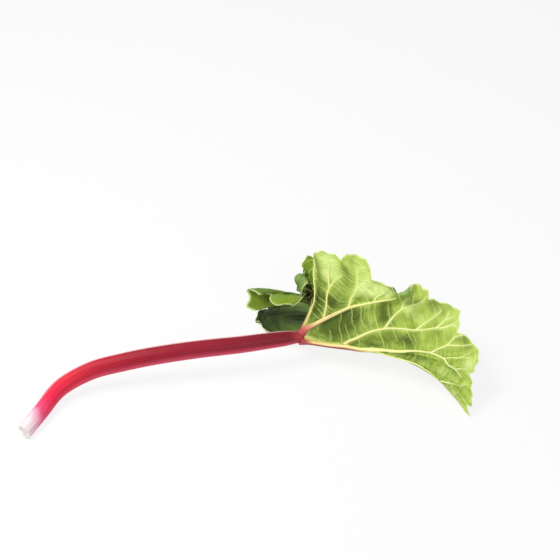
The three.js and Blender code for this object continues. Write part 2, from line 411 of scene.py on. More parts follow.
azimuths, elevations = np.radians(azimuths), np.radians(elevations)
HEADINGS = np.stack([np.cos(elevations) * np.cos(azimuths),
                     np.cos(elevations) * np.sin(azimuths), np.sin(elevations)], -1)


def folded_sheet(lobe, t):
    """The smooth folded sheet, before it is ruffled."""
    middle = smooth(MIDDLES, lobe)
    tip = smooth(TIPS, lobe)
    heading = unit(smooth(HEADINGS, lobe))
    reach = np.linalg.norm(middle - KNUCKLE, axis=-1, keepdims=True)
    first = KNUCKLE + heading * reach * 2 / 3
    second = (8 * middle - KNUCKLE - tip) / 3 - first
    t = np.asarray(t, float)[..., None]
    return (KNUCKLE * (1 - t)**3 + 3 * first * t * (1 - t)**2
            + 3 * second * t**2 * (1 - t) + tip * t**3)


print(len(LOBES), "lobes; the leaf spans", np.ptp(TIPS, axis=0), "mm from tip to tip")

# %% [markdown]
# ## The weaving rim of the basal lobes
#
# The small lobes behind the knuckle grew crowded, so their rim weaves up and down far more than
# the rest of the margin. A rule for waves would be too even, and so a short table says how far
# the rim moves at each place. The move fades out towards the knuckle, and the table's corners
# are rounded off, because a sheet of leaf has no kinks.

# %% Move the rim of the basal lobes
# place round the margin, and the rim's move in millimetres, across and up
RIM_MOVES = np.array([
    (-0.3, -8, 2), (0.0, -8, 2), (0.35, -7, 1), (0.55, -16, -6), (0.72, -8, -14), (0.88, -1, -5),
    (1.02, -3, 8), (1.12, -9, 16), (1.28, -10, 15), (1.42, -20, 20), (1.53, -26, 12),
    (1.68, -9, 5), (1.85, -1, 5), (2.0, 4, 5), (2.2, 4, 3), (2.35, 4, 4), (2.5, 3, 5),
    (2.7, 3, 5), (2.85, 0, 0), (3.7, 0, 0), (3.87, 6, -4), (3.97, 2, 1), (4.08, 1, 6),
    (4.18, 2, 10), (4.28, 4, 11), (4.45, 2, 7), (4.6, 1, 3), (4.8, 0, 0), (LAST_LOBE, 0, 0)])
# how far out along its line a lobe starts to move
MOVE_PLACES, MOVE_STARTS = (1.0, 1.3, 1.7), (0.75, 0.6, 0.45)
# how far a crest across the same lobes rises, by place, and where along a line it stands
CREST_RISE = [(0.3, 0), (0.8, 1), (1.2, 1), (1.6, 4), (2.0, 4), (2.4, 2), (3.0, 0)]
CREST_MIDDLE, CREST_WIDTH = 0.72, 0.14
ACROSS = np.array((1.0, 0.0, 0.0))
UP_AND_BACK = np.array((0.0, 0.616, 0.788))
ROUNDING_WINDOW = 9
PLACES_PER_LOBE = 40
margin_places = np.linspace(0, LAST_LOBE, LAST_LOBE * PLACES_PER_LOBE + 1)


def along_margin(lobe, values):
    """Values that are known all along the margin, read at some places round it."""
    return np.interp(lobe, margin_places, values)


def rounded(places, values):
    """A table's values all along the margin, with its corners rounded off."""
    window = np.hanning(ROUNDING_WINDOW) / np.hanning(ROUNDING_WINDOW).sum()
    return np.convolve(np.pad(np.interp(margin_places, places, values), ROUNDING_WINDOW // 2,
                              mode="edge"), window, mode="valid")


rim_across = rounded(RIM_MOVES[:, 0], RIM_MOVES[:, 1])
rim_up = rounded(RIM_MOVES[:, 0], RIM_MOVES[:, 2])
crest_up = rounded(*np.transpose(CREST_RISE))


def draped_sheet(lobe, t):
    """The folded sheet with the rim of its basal lobes weaving up and down."""
    start = np.interp(lobe, MOVE_PLACES, MOVE_STARTS)
    share = eased((t - start) / (1 - start))
    across = along_margin(lobe, rim_across) * share
    up = along_margin(lobe, rim_up) * share
    up += along_margin(lobe, crest_up) * hump(t, CREST_WIDTH, CREST_MIDDLE)
    return folded_sheet(lobe, t) + across[..., None] * ACROSS + up[..., None] * UP_AND_BACK


def upper_direction(lobe, t):
    """Unit normal of the smooth sheet, on the leaf's upper side."""
    outward = draped_sheet(lobe, t + SMALL_STEP) - draped_sheet(lobe, t - SMALL_STEP)
    round_margin = draped_sheet(lobe + SMALL_STEP, t) - draped_sheet(lobe - SMALL_STEP, t)
    return unit(np.cross(outward, round_margin))


print("the rim moves by up to", round(float(np.hypot(rim_across, rim_up).max())), "mm")

# %% [markdown]
# ## The leaf laid flat
#
# Veins, the margin and the mesh itself are easiest to draw on the leaf laid flat, as in a
# botanist's press, with the knuckle at (0, 0) and the midrib to the right. Each flat place is
# then carried to the folded leaf: its direction gives the place round the margin, and its
# distance gives the share of the way out. An unwrapped UV map could do this the other way
# round, from 3-D to flat, but drawing first and folding after keeps every vein on the sheet.

# %% From flat places to the folded leaf
LINE_SAMPLES = 81
grid_lobe, grid_t = np.meshgrid(margin_places, np.linspace(0, 1, LINE_SAMPLES), indexing="ij")
line_steps = np.linalg.norm(np.diff(folded_sheet(grid_lobe, grid_t), axis=1), axis=-1)
line_length = line_steps.sum(axis=1)
flat_angle = np.radians(smooth(FLAT_ANGLES, margin_places)[..., 0])


def polar(flat):
    """Distance and angle of flat places, seen from the knuckle."""
    return np.hypot(flat[..., 0], flat[..., 1]), np.arctan2(flat[..., 1], flat[..., 0])


def flat_to_leaf(flat):
    """Place round the margin and share of the way out, for flat places in millimetres."""
    distance, angle = polar(flat)
    lobe = np.interp(-angle, -flat_angle, margin_places)
    return lobe, distance / along_margin(lobe, line_length)


def leaf_to_flat(lobe, t):
    """Flat places in millimetres, for a place round the margin and a share of the way out."""
    angle = along_margin(lobe, flat_angle)
    distance = along_margin(lobe, line_length) * t
    return np.stack([distance * np.cos(angle), distance * np.sin(angle)], -1)


print("line lengths from", round(line_length.min()), "to", round(line_length.max()), "mm")

# %% [markdown]
# ## The margin
#
# The margin dips between two lobes and is finely and unevenly toothed. In two places a tongue
# of it reaches further out: the long one later curls over, and the short one fills most of the
# notch beside the hanging tip. It could be drawn point by point, but as a share of each line's
# length it follows the lobes by itself.

# %% How far out the margin lies
LOBE_ROUNDNESS = 0.8
# height as a share of the line, teeth to the lobe in radians, and where the row starts
TEETH = [(0.010, 9.1, 0.6), (0.006, 23.7, 0.0)]
# a tongue's place round the margin, its half width there, and its length in mm
TONGUES = [(3.36, 0.56, 46), (11.5, 0.42, 9)]
# a corner between two lobes that is turned down: its ends and tip on the flat leaf, in mm
CORNER_PLACES = (7.33, 7.52)
CORNER_START, CORNER_TIP, CORNER_END = (114.5, 89.6), (108.0, 113.0), (142.4, 104.8)


def margin_share(lobe):
    """How far out the margin lies along the line at a place round it."""
    dip = smooth(DIPS, lobe)[..., 0]
    return 1 - dip * (1 - np.abs(np.cos(np.pi * lobe)) ** LOBE_ROUNDNESS)


def edge_share(lobe):
    """The margin with its uneven teeth and its tongues."""
    teeth = sum(height * np.sin(pace * lobe + start) for height, pace, start in TEETH)
    share = margin_share(lobe) * (1 + teeth)
    for place, half_width, extra in TONGUES:
        reach = extra / along_margin(lobe, line_length)
        share = share + reach * np.clip(1 - ((lobe - place) / half_width) ** 2, 0, 1)
    return share


print("the margin dips to", round(float(margin_share(margin_places).min()), 2), "of a line")

# %% [markdown]
# ## Ribs
# The leaf's ribs are the plumbing that spreads out of the stalk: a thick midrib, a few main
# ribs beside it, and side ribs that branch off them towards the lobes. They could be grown by
# a rule, but the big ones give the leaf its character, so each is given on the flat leaf as a
# few points. The columns are the rib's half width in millimetres at its root and at
# its end, how far its red blush reaches from the knuckle, and its points.

# %% Ribs on the flat leaf
RIBS = [
    # midrib, its fork, and the rib that follows the fold
    (6.4, 1.4, 105, [(1.5, -1), (8, -5), (25, -12), (40, -16), (56, -18), (78, -24), (101, -23),
                     (124, -9), (147, 7), (166, 13)]),
    (1.4, 0.6, 0, [(166, 13), (175, 25), (189, 35), (202, 45), (221, 49)]),
    (0.9, 0.4, 0, [(189, 35), (213, 38), (232, 42)]),
    (1.4, 0.6, 0, [(166, 13), (186, 7), (197, -5), (209, -8), (222, -17)]),
    (0.9, 0.4, 0, [(186, 7), (202, 16), (226, 24)]),
    (1.4, 0.6, 0, [(91, -25), (110, -37), (129, -42), (147, -44), (162, -50), (176, -60),
                   (188, -71), (199, -85), (210, -94), (222, -97)]),
    (0.9, 0.4, 0, [(191, -64), (207, -51), (220, -39), (234, -24)]),
    # upper main rib and its side ribs
    (3.5, 0.9, 48, [(1, 3), (8, 14), (25, 29), (37, 39), (48, 48), (61, 55), (80, 65), (101, 75),
                    (114, 79)]),
    (1.3, 0.5, 0, [(25, 29), (24, 53), (22, 69), (25, 80), (33, 92), (46, 103)]),
    (0.9, 0.5, 0, [(25, 80), (26, 96), (35, 117)]),
    (1.2, 0.6, 0, [(46, 48), (53, 71), (61, 85), (67, 91), (75, 94)]),
    (0.8, 0.4, 0, [(61, 85), (64, 97), (68, 112)]),
    (1.0, 0.5, 0, [(80, 65), (82, 75), (94, 85)]),
    # side ribs of the midrib
    (2.1, 0.7, 78, [(56, -12), (63, 3), (83, 26), (104, 39), (123, 44), (144, 46), (171, 52),
                    (181, 53), (196, 57), (204, 56)]),
    (1.4, 0.6, 0, [(104, 39), (113, 53), (126, 66), (141, 72), (157, 77)]),
    (0.8, 0.4, 0, [(126, 66), (131, 77), (141, 87)]),
    (1.2, 0.5, 0, [(145, 47), (159, 58), (181, 71)]),
    (1.0, 0.5, 0, [(172, 52), (185, 62), (191, 70)]),
    (0.8, 0.4, 0, [(185, 62), (200, 66)]),
    # forks near the margin
    (0.8, 0.4, 0, [(141, 72), (143, 80), (145, 88)]),
    (0.8, 0.4, 0, [(154, 76), (160, 80), (166, 84)]),
    (0.8, 0.4, 0, [(209, -8), (221, -1), (233, 5)]),
    (0.7, 0.4, 0, [(204, 15), (216, 25), (226, 32)]),
    (0.7, 0.4, 0, [(188, 54), (199, 59), (208, 61)]),
    # ribs of the small lobes on the left
    (1.3, 0.5, 20, [(0, 4), (-1, 12), (-3, 23), (-5, 36), (-3, 49), (-4, 59), (-6, 70), (-5, 85),
                    (2, 102), (9, 116)]),
    (1.9, 0.6, 22, [(-2, 4), (-22, 30), (-48, 60), (-72, 87)]),
    (1.2, 0.5, 0, [(-22, 30), (-28, 60), (-36, 98)]),
    (1.3, 0.5, 0, [(-22, 30), (-50, 42), (-80, 53), (-106, 67)]),
    (0.9, 0.4, 0, [(-34, 35), (-60, 32), (-92, 30)]),
    # the half that lies down
    (3.2, 0.8, 40, [(2, -4), (25, -30), (52, -62), (75, -93), (95, -121)]),
    (1.9, 0.6, 0, [(56, -12), (80, -36), (110, -64), (140, -90), (162, -109)]),
    (2.3, 0.6, 22, [(0, -5), (-3, -40), (-8, -80), (-14, -134)]),
    (1.3, 0.5, 0, [(25, -30), (30, -60), (34, -95), (38, -132)]),
    (1.0, 0.4, 0, [(52, -62), (60, -95), (70, -122)]),
    (1.0, 0.4, 0, [(52, -62), (85, -82), (116, -106)]),
    (0.9, 0.4, 0, [(110, -64), (140, -76), (176, -92)]),
    (2.1, 0.6, 22, [(-3, -4), (-30, -26), (-60, -50), (-88, -73)]),
    (1.2, 0.5, 0, [(-30, -26), (-42, -55), (-57, -104)]),
    (1.0, 0.4, 0, [(-30, -26), (-52, -28), (-76, -30)]),
]
print(len(RIBS), "ribs are placed by hand")

# %% Trace the ribs
VEIN_STEP = 1.2
# veins stop at this share of a line short of the margin
MARGIN_CLEARANCE = 0.012
TAPER = 1.4
# ribs that leave the knuckle itself are wider there: where they start, by how much, how far
AT_KNUCKLE, FLARE, FLARE_REACH = 6, 2.6, 11
# the blush is full near the knuckle, and on all sides over a share of its reach, which is
# smaller for a thick rib
THICK_RIB = 5
FULL_BLUSH, ROUND_THICK, ROUND_THIN, ROUND_FADE = 1.15, 0.12, 0.6, 9


def trace_vein(points):
    """Evenly spaced points along a smooth line through a few given ones."""
    dense = smooth(points, np.linspace(0, len(points) - 1, 30 * len(points)))
    length = path_lengths(dense)[-1]
    return along_line(dense, np.linspace(0, length, max(3, int(length / VEIN_STEP) + 1)))


ribs = []
for root, end, blush, points in RIBS:
    line = trace_vein(points)
    lobe, t = flat_to_leaf(line)
    past_margin = np.flatnonzero(t > edge_share(lobe) - MARGIN_CLEARANCE)
    line = line[:past_margin[0]] if len(past_margin) else line
    radius = end + (root - end) * (1 - np.linspace(0, 1, len(line))) ** TAPER
    reach, _ = polar(line)
    if reach[0] < AT_KNUCKLE:
        radius = radius + FLARE * hump(reach, FLARE_REACH)
    red = np.clip(FULL_BLUSH - reach / blush, 0, 1) if blush else np.zeros(len(line))
    all_round = (ROUND_THICK if root > THICK_RIB else ROUND_THIN) * blush
    whole = np.clip((all_round - reach) / ROUND_FADE, 0, 1)
    ribs.append({"line": line, "radius": radius, "red": red, "whole": whole})
print(len(ribs), "ribs,", round(sum(len(r["line"]) for r in ribs) * VEIN_STEP), "mm in all")

# %% [markdown]
# ## Veins between the ribs
#
# Between two ribs, thin veins cross like the rungs of a ladder, and thinner threads stand on
# the rungs. There are hundreds, so they are grown by a rule. From each rib, a rung sets out
# every few millimetres, runs round the knuckle with a little wandering, and stops after a
# random length, or sooner where it meets another vein or the margin. The threads leave their
# rung nearly square. A fixed seed makes the same leaf each time.

# %% A grower that knows where veins already are
CELL = 2.5
NOTCH_CLEARANCE = 1.5
MEETING_DISTANCE = 1.5
# a vein may touch its own parent until it is this long, and counts only when it is this long
FREE_LENGTH, SHORTEST_VEIN = 5, 3.5
# how far a line leans outwards in radians, how much that differs, and how much it wanders
LEAN, LEAN_SPREAD, LEAN_STEP = 0.05, 0.05, 0.025


def on_blade(flat):
    """True for flat places inside the margin and clear of the two edges of the notch."""
    lobe, t = flat_to_leaf(flat)
    distance, angle = polar(flat)
    clear = NOTCH_CLEARANCE / np.maximum(distance, 1.0)
    return ((t < edge_share(lobe) - MARGIN_CLEARANCE) & (angle < flat_angle[0] - clear)
            & (angle > flat_angle[-1] + clear))


class VeinGrower:
    """Grows veins on the flat leaf, and remembers where veins already are."""

    def __init__(self, seed):
        self.random = random.Random(seed)
        self.cells = {}
        self.count = 0

    def remember(self, line):
        self.count += 1
        for x, y in line:
            key = (int(x // CELL), int(y // CELL))
            self.cells.setdefault(key, []).append((x, y, self.count))
        return self.count

    def nearest_other(self, x, y, ignore, within):
        """The nearest point of any vein but one, or nothing."""
        best = None
        column, row = int(x // CELL), int(y // CELL)
        for i in (column - 1, column, column + 1):
            for j in (row - 1, row, row + 1):
                for px, py, owner in self.cells.get((i, j), ()):
                    gap = math.hypot(px - x, py - y)
                    if owner != ignore and gap < within:
                        within = gap
                        best = (px, py)
        return best

    def grow(self, start, heading, parent, longest, side=0):
        """A wandering line from start, or nothing where there is no room for it.

        With a side of 1 or -1 the line runs round the knuckle, left or right about."""
        x, y = start
        line = [(x, y)]
        lean = self.random.gauss(LEAN, LEAN_SPREAD)
        travelled = 0.0
        while travelled < longest:
            if side:
                heading = math.atan2(y, x) + side * (math.pi / 2 - lean)
            lean += self.random.gauss(0, LEAN_STEP)
            x += math.cos(heading) * VEIN_STEP
            y += math.sin(heading) * VEIN_STEP
            travelled += VEIN_STEP
            if not on_blade(np.array((x, y))):
                break
            ignore = parent if travelled < FREE_LENGTH else 0
            met = self.nearest_other(x, y, ignore, MEETING_DISTANCE)
            line.append(met if met else (x, y))
            if met:
                break
        return np.array(line) if travelled > SHORTEST_VEIN else None


grower = VeinGrower(seed=11)
for rib in ribs:
    rib["owner"] = grower.remember(rib["line"])
print("the grower knows", grower.count, "ribs in", len(grower.cells), "cells")

# %% Grow the rungs and the threads
LOOK_AHEAD = 3
CROWDED_SHARE = 0.36
THINNING = 0.7
# random shares: of the spacing for the first and for later veins, and of the longest length
FIRST_STRIDE, STRIDE, LENGTH_SHARE = (0.6, 1.2), (0.8, 1.25), (0.35, 1.0)


def grow_rungs(parents, spacing, longest, tilt, width, nearest_knuckle):
    """Veins on both sides of every parent, about one spacing apart.

    With a tilt they leave their parent at that angle, and without one they run round the
    knuckle."""
    grown = []
    stride = spacing / VEIN_STEP
    for parent in parents:
        line, owner = parent["line"], parent["owner"]
        place = grower.random.uniform(*FIRST_STRIDE) * stride
        while place < len(line) - 2:
            k = int(place)
            x, y = line[k]
            if np.hypot(x, y) < nearest_knuckle:
                place += 1
                continue
            along = line[k + 1] - line[k - 1]
            forward = math.atan2(along[1], along[0])
            for sign in (1, -1):
                side = 0
                heading = forward + sign * tilt
                if not tilt:
                    outward = math.atan2(y, x)
                    side = sign if math.cos(outward - forward) > 0 else -sign
                    heading = outward + side * math.pi / 2
                ahead = (x + LOOK_AHEAD * math.cos(heading), y + LOOK_AHEAD * math.sin(heading))
                if grower.nearest_other(*ahead, owner, CROWDED_SHARE * spacing):
                    continue
                reach = longest * grower.random.uniform(*LENGTH_SHARE)
                vein = grower.grow((x, y), heading, owner, reach, side)
                if vein is None:
                    continue
                count = len(vein)
                grown.append({"line": vein, "red": np.zeros(count), "whole": np.zeros(count),
                              "radius": width * (1 - THINNING * np.linspace(0, 1, count)),
                              "owner": grower.remember(vein[2:])})
            place += stride * grower.random.uniform(*STRIDE)
    return grown


rungs = grow_rungs(ribs, spacing=15.5, longest=46, tilt=0, width=0.42, nearest_knuckle=36)
threads = grow_rungs(rungs, spacing=11.0, longest=9, tilt=1.45, width=0.16, nearest_knuckle=70)
for name, veins in (("rungs", rungs), ("threads", threads)):
    print(len(veins), name, "with", sum(len(v["line"]) for v in veins), "points")

# %% [markdown]
# ## Puckers between the veins
#
# The sheet is tight along its veins and slack between them, so every field between veins
# swells towards the upper side. The underside looks like a net of raised cords over shallow
# dishes, and the upper side looks quilted. A bump map could fake it, but the margin and the
# folds would stay smooth, so it is real height: small where a vein is close and full where it
# is far, with a larger and softer swell between the ribs, and some slow noise. One more noise,
# drawn out round the knuckle, adds the fine creases that cross the ribs.

# %% Distances to the veins
def point_tree(points):
    """A tree that quickly finds the nearest of many flat points."""
    tree = kdtree.KDTree(len(points))
    for index, (x, y) in enumerate(points):
        tree.insert((x, y, 0), index)
    tree.balance()
    return tree


def nearest(tree, flat):
    """Distance from each flat place to the tree's nearest point, and that point's number."""
    found = [tree.find((x, y, 0)) for x, y in flat]
    return np.array([f[2] for f in found]), [f[1] for f in found]


def vein_distance(veins):
    """A function that gives the distance to the nearest vein, and that vein's half width."""
    tree = point_tree(np.vstack([v["line"] for v in veins]))
    radii = np.concatenate([v["radius"] for v in veins])

    def measure(flat):
        distance, index = nearest(tree, flat)
        return distance, radii[index]
    return measure


to_rib, to_net, to_thread = map(vein_distance, (ribs, ribs + rungs, threads))
print("from (90, 0) to the nearest rib:", to_rib([(90, 0)])[0].round(1), "mm")

# %% Height of the puckers
# heights in mm and the distances from a vein over which they rise
SMALL_SWELL, SMALL_RISE = 0.9, 2.6
BROAD_SWELL, BROAD_RISE = 3.4, 10.0
# height, size in mm and seed of each noise
SLOW_NOISES = [(1.6, 21, 3.1), (0.7, 9, 7.7)]
CREASE_HEIGHT, CREASE_SIZE, CREASE_SEED, CREASE_PACE = 0.5, 3.4, 5.5, 15.6
# the sheet is flatter near ribs, the knuckle, the margin and the basal lobes
CALM_BY_RIB, CALM_MARGIN = 9, 0.05
CALM_KNUCKLE, CALM_REACH = 8, 40
CALM_PLACES, CALM_SHARES = (2.0, 4.0), (0.3, 1.0)


def soft_noise(flat, size, seed):
    """Slow noise between about -1 and 1, with lumps of a given size in millimetres."""
    return np.array([noise.noise(Vector((x / size, y / size, seed))) for x, y in flat])


def pucker_height(flat):
    """Height of the sheet over its smooth shape at flat places, towards its upper side."""
    lobe, t = flat_to_leaf(flat)
    distance, angle = polar(flat)
    rib_distance, _ = to_rib(flat)
    small = SMALL_SWELL * (1 - hump(to_net(flat)[0], SMALL_RISE))
    broad = BROAD_SWELL * (1 - hump(rib_distance, BROAD_RISE))
    slow = sum(high * soft_noise(flat, size, seed) for high, size, seed in SLOW_NOISES)
    creased = np.stack([distance, CREASE_PACE * angle], -1)
    slow = slow + CREASE_HEIGHT * soft_noise(creased, CREASE_SIZE, CREASE_SEED)
    near_rib = np.clip(rib_distance / CALM_BY_RIB, 0, 1)
    near_knuckle = np.clip((distance - CALM_KNUCKLE) / CALM_REACH, 0, 1)
    near_margin = np.clip((edge_share(lobe) - t) / CALM_MARGIN, 0.25, 1)
    calm = np.interp(lobe, CALM_PLACES, CALM_SHARES)
    return calm * near_knuckle * near_margin * (small + broad + slow * near_rib)


print("pucker at (90, 0):", pucker_height(np.array([(90.0, 0.0)])).round(2), "mm")

# %% [markdown]
# ## Ruffles, curled flaps, and lying on the table
#
# The margin grows faster than the rest of the leaf and has to fold up, so it ruffles: it waves
# along its own length, most at the very edge. In two places the edge curls right over, a corner
# of the upper edge and the long tongue at the basal lobes, and a flap of the darker upper side
# lies on the pale underside. Such a flap is like a page corner that is turned down: everything
# left of a straight line is rolled round a small radius and then runs straight on.
#
# A real leaf also can't sink into the table. A hard limit would leave a crease where the leaf
# meets it, so the height eases towards the table along a hyperbola instead. The puckers have to
# stand square to the curled sheet, so its direction is measured on the sheet itself, from places
# a small step apart.

# %% Turn the flaps over
# start and end of each fold line on the flat leaf, how far before its start the fold still
# turns the sheet, radius of the roll in mm, and degrees of the turn
FLAPS = [(CORNER_START, CORNER_END, 0.05, 2.2, 160),
         ((-47.6, 90.0), (-15.5, 96.0), 2.0, 2.5, 165)]
PAST_FOLD_END = 6


def curl_flaps(flat):
    """Where flat places lie once the flaps are turned over, and how far off the sheet they are."""
    flat = np.array(flat, float)
    lift = np.zeros(len(flat))
    for start, end, before, radius, degrees in FLAPS:
        length = math.dist(start, end)
        forward = np.subtract(end, start) / length
        left = np.array((-forward[1], forward[0]))
        beyond = (flat - start) @ left
        along = (flat - start) @ forward
        on_flap = (beyond > 0) & (along > -before) & (along < length + PAST_FOLD_END)
        turn = math.radians(degrees)
        rolled = np.minimum(beyond, radius * turn)
        straight = beyond - rolled
        reach = radius * np.sin(rolled / radius) + straight * math.cos(turn)
        height = radius * (1 - np.cos(rolled / radius)) + straight * math.sin(turn)
        flat -= left * np.where(on_flap, beyond - reach, 0)[:, None]
        lift = np.where(on_flap, height, lift)
    return flat, lift


print(len(FLAPS), "flaps, turned over by", [flap[4] for flap in FLAPS], "degrees")

# %% Carry flat places to the folded, ruffled and curled leaf
FLOOR_CLEARANCE = 1.0
FLOOR_EASE = 4.0
RUFFLE_START = 10
FRILL_HEIGHT, FRILL_WAVES, FRILL_WANDER, FRILL_WANDER_PACE = 1.3, 2.7, 1.5, 1.3
# the hanging tip of the leaf is the one place where the margin stays straight
TIP_PLACE, TIP_REACH = 11.9, 0.7
EAST, NORTH = np.array((0.05, 0.0)), np.array((0.0, 0.05))


def leaf_sheet(flat):
    """Points of the folded, ruffled and curled sheet, in millimetres, without its puckers."""
    flat, lift = curl_flaps(flat)
    lobe, t = flat_to_leaf(flat)
    start = RUFFLE_START / along_margin(lobe, line_length)
    reach = np.clip((t - start) / (margin_share(lobe) - start), 0, 1.1)
    ruffle = smooth(RUFFLES, lobe)[..., 0] * reach**3 * np.cos(2 * np.pi * lobe)
    wander = FRILL_WANDER * np.sin(FRILL_WANDER_PACE * lobe)
    frill = FRILL_HEIGHT * reach**7 * np.sin(2 * np.pi * FRILL_WAVES * lobe + wander)
    waves = (ruffle + frill) * (1 - hump(lobe, TIP_REACH, TIP_PLACE))
    points = draped_sheet(lobe, t) + upper_direction(lobe, t) * (waves - lift)[:, None]
    above = points[:, 2] - FLOOR_CLEARANCE
    points[:, 2] = FLOOR_CLEARANCE + (above + np.hypot(above, FLOOR_EASE)) / 2
    return points


def place_on_leaf(flat):
    """Points of the finished sheet, in millimetres, and its upper direction at each."""
    outward = leaf_sheet(flat + EAST) - leaf_sheet(flat - EAST)
    upward = leaf_sheet(flat + NORTH) - leaf_sheet(flat - NORTH)
    upper = unit(np.cross(upward, outward))
    return leaf_sheet(flat) + upper * pucker_height(flat)[:, None], upper


print("the midrib at 100 mm is at", place_on_leaf(np.array([(100.0, -23.0)]))[0].round(1))

# %% [markdown]
# ## The blade's outline and filling
#
# A grid that fans out from the knuckle would be crowded at the root and coarse at the margin.
# Instead the flat leaf is filled with evenly spaced points and triangulated inside its outline
# by Blender's own constrained Delaunay routine, the one that also fills flat curves.

# %% Outline of the flat leaf
MESH_STEP = 1.4
ROOT_RADIUS = 5.0
OUTLINE_SAMPLES, CORNER_SAMPLES, ARC_SAMPLES = 2400, 21, 40


def spaced(line, step):
    """Points about one step apart along a line."""
    length = path_lengths(line)[-1]
    return along_line(line, np.linspace(0, length, max(2, int(round(length / step)) + 1)))


outline_places = np.linspace(0, LAST_LOBE, OUTLINE_SAMPLES)
margin_line = leaf_to_flat(outline_places, edge_share(outline_places))
# the corner that is turned down stands out beyond the margin between two lobes
corner = smooth([CORNER_START, CORNER_TIP, CORNER_END], np.linspace(0, 2, CORNER_SAMPLES))
margin_line = np.vstack([margin_line[outline_places < CORNER_PLACES[0]], corner,
                         margin_line[outline_places > CORNER_PLACES[1]]])
first_angle, last_angle = flat_angle[0], flat_angle[-1]
arc = np.linspace(last_angle, first_angle, ARC_SAMPLES)
root_arc = ROOT_RADIUS * np.stack([np.cos(arc), np.sin(arc)], -1)
sides = [margin_line, np.array([margin_line[-1], root_arc[0]]), root_arc,
         np.array([root_arc[-1], margin_line[0]])]
outline = np.vstack([spaced(side, MESH_STEP)[:-1] for side in sides])
outline_tree = point_tree(outline)
print(len(outline), "points round the flat leaf")

# %% Filling of the flat leaf
CLOSEST_TO_OUTLINE = 0.62 * MESH_STEP
low, high = outline.min(axis=0), outline.max(axis=0)
rows = np.arange(low[1], high[1], MESH_STEP * math.sqrt(3) / 2)
filling = np.array([(x, y) for number, y in enumerate(rows)
                    for x in np.arange(low[0] + (number % 2) * MESH_STEP / 2, high[0], MESH_STEP)])
lobe, t = flat_to_leaf(filling)
distance, angle = polar(filling)
inside = (t < edge_share(lobe)) & (angle < first_angle) & (angle > last_angle)
corner_side = np.roll(corner, -1, axis=0) - corner
turns = (corner_side[:, 0] * (filling[:, 1, None] - corner[:, 1])
         - corner_side[:, 1] * (filling[:, 0, None] - corner[:, 0]))
inside |= (turns < 0).all(axis=1)
inside &= distance > ROOT_RADIUS
filling = filling[inside]
filling = filling[nearest(outline_tree, filling)[0] > CLOSEST_TO_OUTLINE]

count = len(outline)
fence = [(k, (k + 1) % count) for k in range(count)]
flat_points, _, triangles, _, _, _ = delaunay_2d_cdt(
    [Vector(p) for p in np.vstack([outline, filling])], fence, [], 1, 1e-6)
flat_points = np.array([tuple(p) for p in flat_points])
print(len(flat_points), "flat points,", len(triangles), "triangles on each side")

# %% [markdown]
# ## The blade's mesh
#
# The blade is a thin closed sheet. Solidify could give it a thickness, but the two sides differ:
# the upper side has a groove over every vein, and the underside rises into a cushion under it,
# so the ribs grow out of the sheet. The same triangles are therefore used twice, once for each
# side, and a narrow rim joins them.

# %% Fold the flat leaf into a closed sheet
SHEET_THICKNESS = 0.8
# cushion under a vein: height and spread as shares of its half width, and a spread for thin ones
CUSHION_HEIGHT, RIB_SPREAD, VEIN_SPREAD, LEAST_SPREAD = 0.55, 1.45, 1.6, 0.4
GROOVE_DEPTH, GROOVE_WIDTH = 0.35, 1.2
LOWEST_UPPER, LOWEST_UNDER = 0.35, 0.15


net_distance, net_width = to_net(flat_points)
rib_distance, rib_width = to_rib(flat_points)
mid, upper = place_on_leaf(flat_points)
cushion = CUSHION_HEIGHT * np.maximum(
    rib_width * hump(rib_distance, RIB_SPREAD * rib_width),
    net_width * hump(net_distance, VEIN_SPREAD * net_width + LEAST_SPREAD))
groove = GROOVE_DEPTH * hump(net_distance, GROOVE_WIDTH)
upper_side = mid + upper * (SHEET_THICKNESS / 2 - groove)[:, None]
under_side = mid - upper * (SHEET_THICKNESS / 2 + cushion)[:, None]
upper_side[:, 2] = np.maximum(upper_side[:, 2], LOWEST_UPPER)
under_side[:, 2] = np.maximum(under_side[:, 2], LOWEST_UNDER)

size = len(flat_points)
edges = dict.fromkeys(edge for a, b, c in triangles for edge in ((a, b), (b, c), (c, a)))
border = [edge for edge in edges if (edge[1], edge[0]) not in edges]
faces = [(a, c, b) for a, b, c in triangles]
faces += [(a + size, b + size, c + size) for a, b, c in triangles]
faces += [(a, b, b + size, a + size) for a, b in border]
leaf_mesh = bpy.data.meshes.new("leaf")
leaf_mesh.from_pydata(to_frame(np.vstack([upper_side, under_side])).tolist(), [], faces)
leaf_mesh.shade_smooth()
leaf = link_object("leaf", leaf_mesh)
sharp = {tuple(sorted((a + side, b + side))) for a, b in border for side in (0, size)}
is_sharp = [tuple(sorted(edge.vertices)) in sharp for edge in leaf_mesh.edges]
leaf_mesh.attributes.new("sharp_edge", "BOOLEAN", "EDGE").data.foreach_set("value", is_sharp)
print("leaf:", len(faces), "faces,", len(border), "along the rim")
